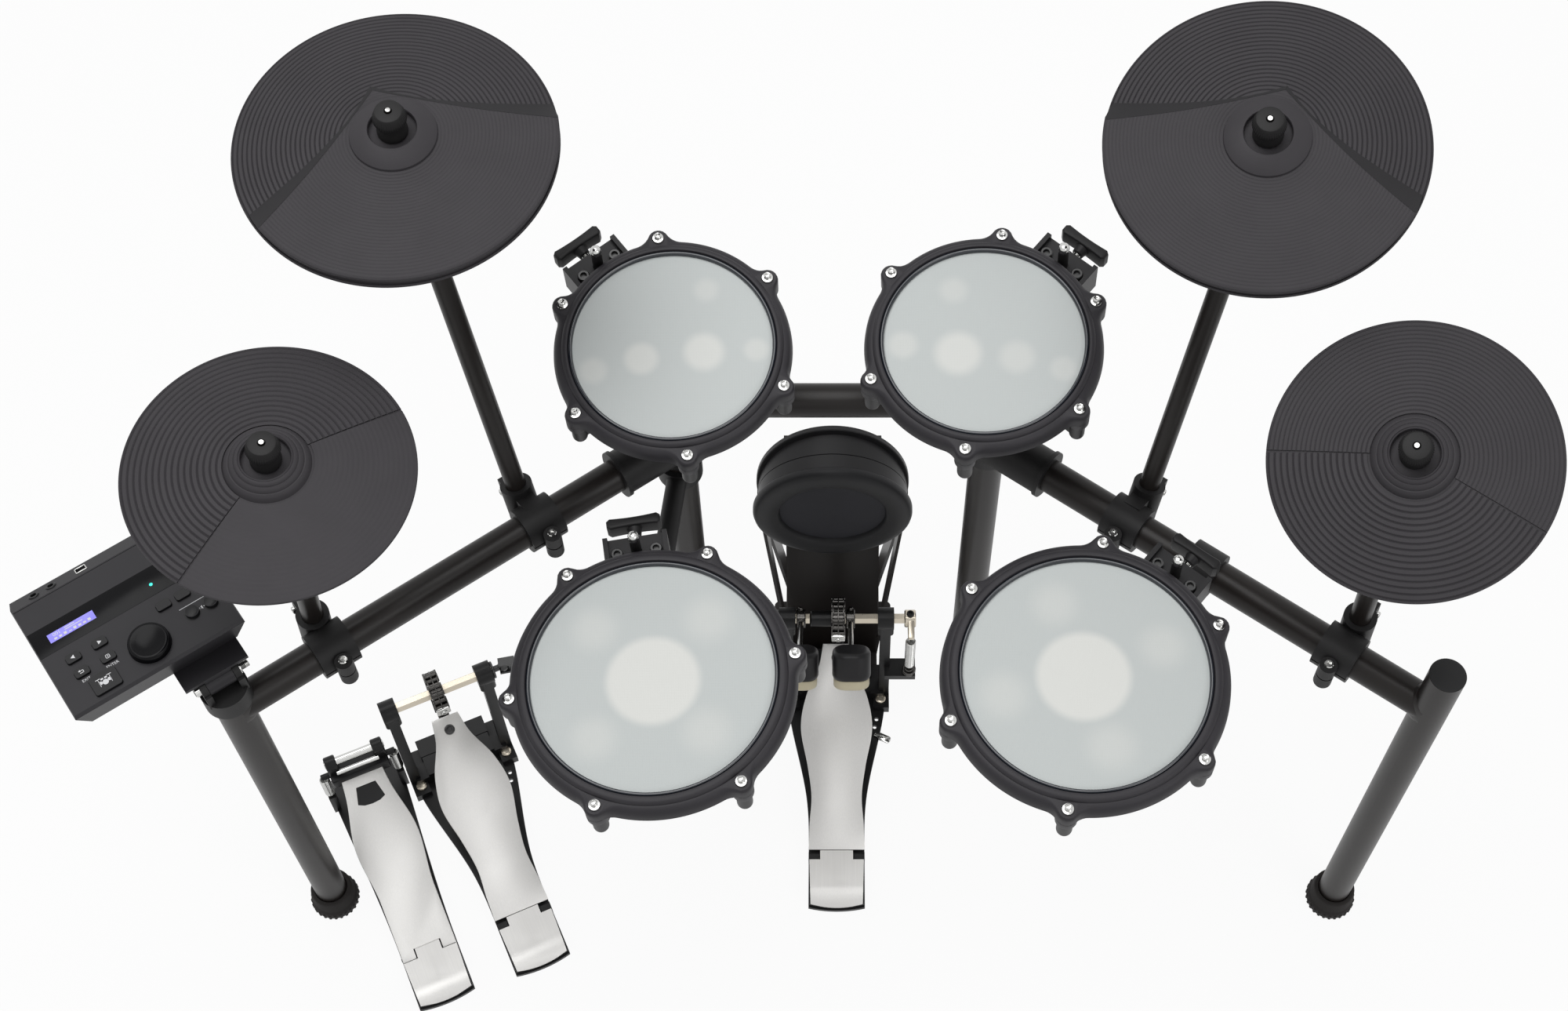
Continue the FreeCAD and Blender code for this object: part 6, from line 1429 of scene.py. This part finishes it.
def coil(bm, low, high, turns, place=Matrix()):
    """Coil of wire from one height to another, with its cut ends closed."""
    form = bmesh.new()
    wire_at = Matrix.Translation((SPRING_R, 0, low)) @ Matrix.Rotation(math.pi / 2, 4, "X")
    bmesh.ops.create_circle(form, segments=8, radius=SPRING_WIRE_R, matrix=wire_at)
    steps = turns * 20
    bmesh.ops.spin(form, geom=form.verts[:] + form.edges[:], cent=(0, 0, 0), axis=UP,
                   dvec=(0, 0, (high - low) / steps), angle=math.tau * turns, steps=steps)
    bmesh.ops.holes_fill(form, edges=[e for e in form.edges if e.is_boundary], sides=8)
    join(bm, form, place)


spring_low = SHAFT_Z - 100.0
spring_high = SHAFT_Z - 6.2
spring = bmesh.new()
coil(spring, spring_low + 17, spring_high - 13, 33)
rod(spring, (0, 0, spring_low), (0, 0, spring_low + 18), 1.6, 12, 0.3)
rod(spring, (0, 0, spring_high - 14), (0, 0, spring_high), 1.1, 12, 0.3)
anchor = bmesh.new()
for low, high, radius in ((-4, 0, 8.6), (0.4, 4.4, 8.6), (4.8, 8, 6)):
    rod(anchor, (0, 0, spring_low + low), (0, 0, spring_low + high), radius, 28, 1.0)
spring_at = kick_pedal @ Matrix.Translation(((SHAFT_U - LEVER_REACH) * MM, LEVER_V * MM, 0))
piece("kick_spring_nuts", anchor, spring_at, black_nickel, "rack")
made = piece("kick_spring_wire", spring, spring_at, chrome, None, 60)
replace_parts(made, "kick_spring")
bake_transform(made)

hihat_pedal = pedal_place(PEDALS["hihat"])
toe_u = HINGE_U + HIHAT_REACH * math.cos(BOARD_ANGLE)
toe_z = HINGE_Z + HIHAT_REACH * math.sin(BOARD_ANGLE)
coil_low = SPRING_POST_H + 1.2
coil_high = toe_z - 5.2
springs = bmesh.new()
for side in (-1, 1):
    coil(springs, coil_low, coil_high, 16, Matrix.Translation((toe_u, side * SPRING_POST_V, 0)))
made = piece("hihat_spring_wire", springs, hihat_pedal, chrome, "rack", 60)
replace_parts(made, "hihat_springs")
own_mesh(made)


# Hi-hat yoke
# Cast yoke across the toe of the hi-hat board, enamelled black, with two hinge blocks on a bright shaft.

YOKE_HALF = 37.0
YOKE_H = 30.0
YOKE_D = 20.0
EYE_W = 14.0

yoke = bmesh.new()
slab(yoke, (toe_u - YOKE_D / 2 - 6, -YOKE_HALF, toe_z - 10), (toe_u + YOKE_D / 2, YOKE_HALF, toe_z + 8), 2.0,
     Matrix(), 3)
for side in (-1, 1):
    inner = min(side * YOKE_HALF, side * (YOKE_HALF - EYE_W))
    slab(yoke, (toe_u - 7, inner, toe_z), (toe_u + 7, inner + EYE_W, toe_z + YOKE_H), 1.5)
    rod(yoke, (toe_u, inner, toe_z + YOKE_H), (toe_u, inner + EYE_W, toe_z + YOKE_H), 9, 32, 1.2)
    rod(yoke, (toe_u, side * 35, toe_z), (toe_u, side * 48, toe_z), 4, 20, 0.8)
made = piece("hihat_yoke", yoke, hihat_pedal, pedal_enamel, "hihat_footboard")
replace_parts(made, "hihat_footboard")
axle = bmesh.new()
for back, down, half, radius, steps, edge in (
    (0, 0, YOKE_HALF + 1, 5, 28, 0.6),
    (12, 8, YOKE_HALF - 10, 3, 20, 0.4),
):
    shaft_at = Vector((toe_u - back, 0, toe_z + YOKE_H - down))
    rod(axle, shaft_at - AWAY * half, shaft_at + AWAY * half, radius, steps, edge)
piece("hihat_yoke_shaft", axle, hihat_pedal, chrome, "hihat_footboard")


# Stage
# Plain white floor that runs out of the picture, soft overhead light and a camera high above the place
# where the drummer sits.

CAMERA_AT = Vector((0, -997, 2702))
CAMERA_PITCH = 60.0
LENS = 52.34
SHIFT = -0.031
FLOOR = 14.0
FLOOR_GLOW = 0.93
WORLD_LIGHT = 0.3


def seen_directly(tree):
    """1 for rays from the camera, in reflections and through glass, and 0 for light on the object."""
    rays = add(tree, "ShaderNodeLightPath", {})
    direct = add(tree, "ShaderNodeMath", {"operation": "MAXIMUM"},
                 {0: rays.outputs["Is Camera Ray"], 1: rays.outputs["Is Glossy Ray"]})
    seen = add(tree, "ShaderNodeMath", {"operation": "MAXIMUM"},
               {0: direct.outputs[0], 1: rays.outputs["Is Transmission Ray"]})
    return seen.outputs[0]


# White paper floor: it shows as white to the camera and in reflections, and still takes the shadows.
floor_material, tree, shader, place = blank("white_floor", {"Roughness": 0.9, "Specular IOR Level": 0.1})
shader.inputs["Base Color"].default_value = linear("#fbfbfb")
share = add(tree, "ShaderNodeMath", {"operation": "MULTIPLY", 1: FLOOR_GLOW}, {0: seen_directly(tree)})
white = add(tree, "ShaderNodeEmission", {"Color": (1, 1, 1, 1), "Strength": 1.0})
paper_shader = add(tree, "ShaderNodeMixShader", {},
                   {0: share.outputs[0], 1: shader.outputs[0], 2: white.outputs[0]})
tree.links.new(paper_shader.outputs[0], tree.nodes["Material Output"].inputs["Surface"])
paper = bmesh.new()
bmesh.ops.create_grid(paper, x_segments=1, y_segments=1, size=FLOOR)
floor_mesh = bpy.data.meshes.new("floor")
paper.to_mesh(floor_mesh)
paper.free()
floor_mesh.materials.append(floor_material)
floor = bpy.data.objects.new("floor", floor_mesh)
bpy.context.collection.objects.link(floor)

world = bpy.data.worlds.new("studio")
bpy.context.scene.world = world
world.use_nodes = True
sky = world.node_tree
sky.nodes["Background"].inputs["Color"].default_value = (1, 1, 1, 1)
level = add(sky, "ShaderNodeMapRange", {"To Min": WORLD_LIGHT, "To Max": 1.0}, {"Value": seen_directly(sky)})
sky.links.new(level.outputs[0], sky.nodes["Background"].inputs["Strength"])

for name, at, size, power in (
    ("overhead", (-0.6, 0.2, 4.2), 3.0, 88.0),
    ("fill", (2.6, -2.4, 3.0), 2.0, 30.0),
):
    lamp = bpy.data.lights.new(name, "AREA")
    lamp.size = size
    lamp.energy = power
    light = bpy.data.objects.new(name, lamp)
    light.location = at
    light.rotation_euler = (Vector((0, 0, 0.4)) - Vector(at)).to_track_quat("-Z", "Y").to_euler()
    bpy.context.collection.objects.link(light)

lens = bpy.data.cameras.new("camera")
lens.lens = LENS
lens.shift_x = SHIFT
lens.clip_end = 60.0
camera = bpy.data.objects.new("camera", lens)
camera.location = rack @ (CAMERA_AT * MM)
camera.rotation_euler = (math.radians(90 - CAMERA_PITCH), 0, 0)
bpy.context.collection.objects.link(camera)
bpy.context.scene.camera = camera
bpy.context.scene.view_settings.view_transform = "Standard"
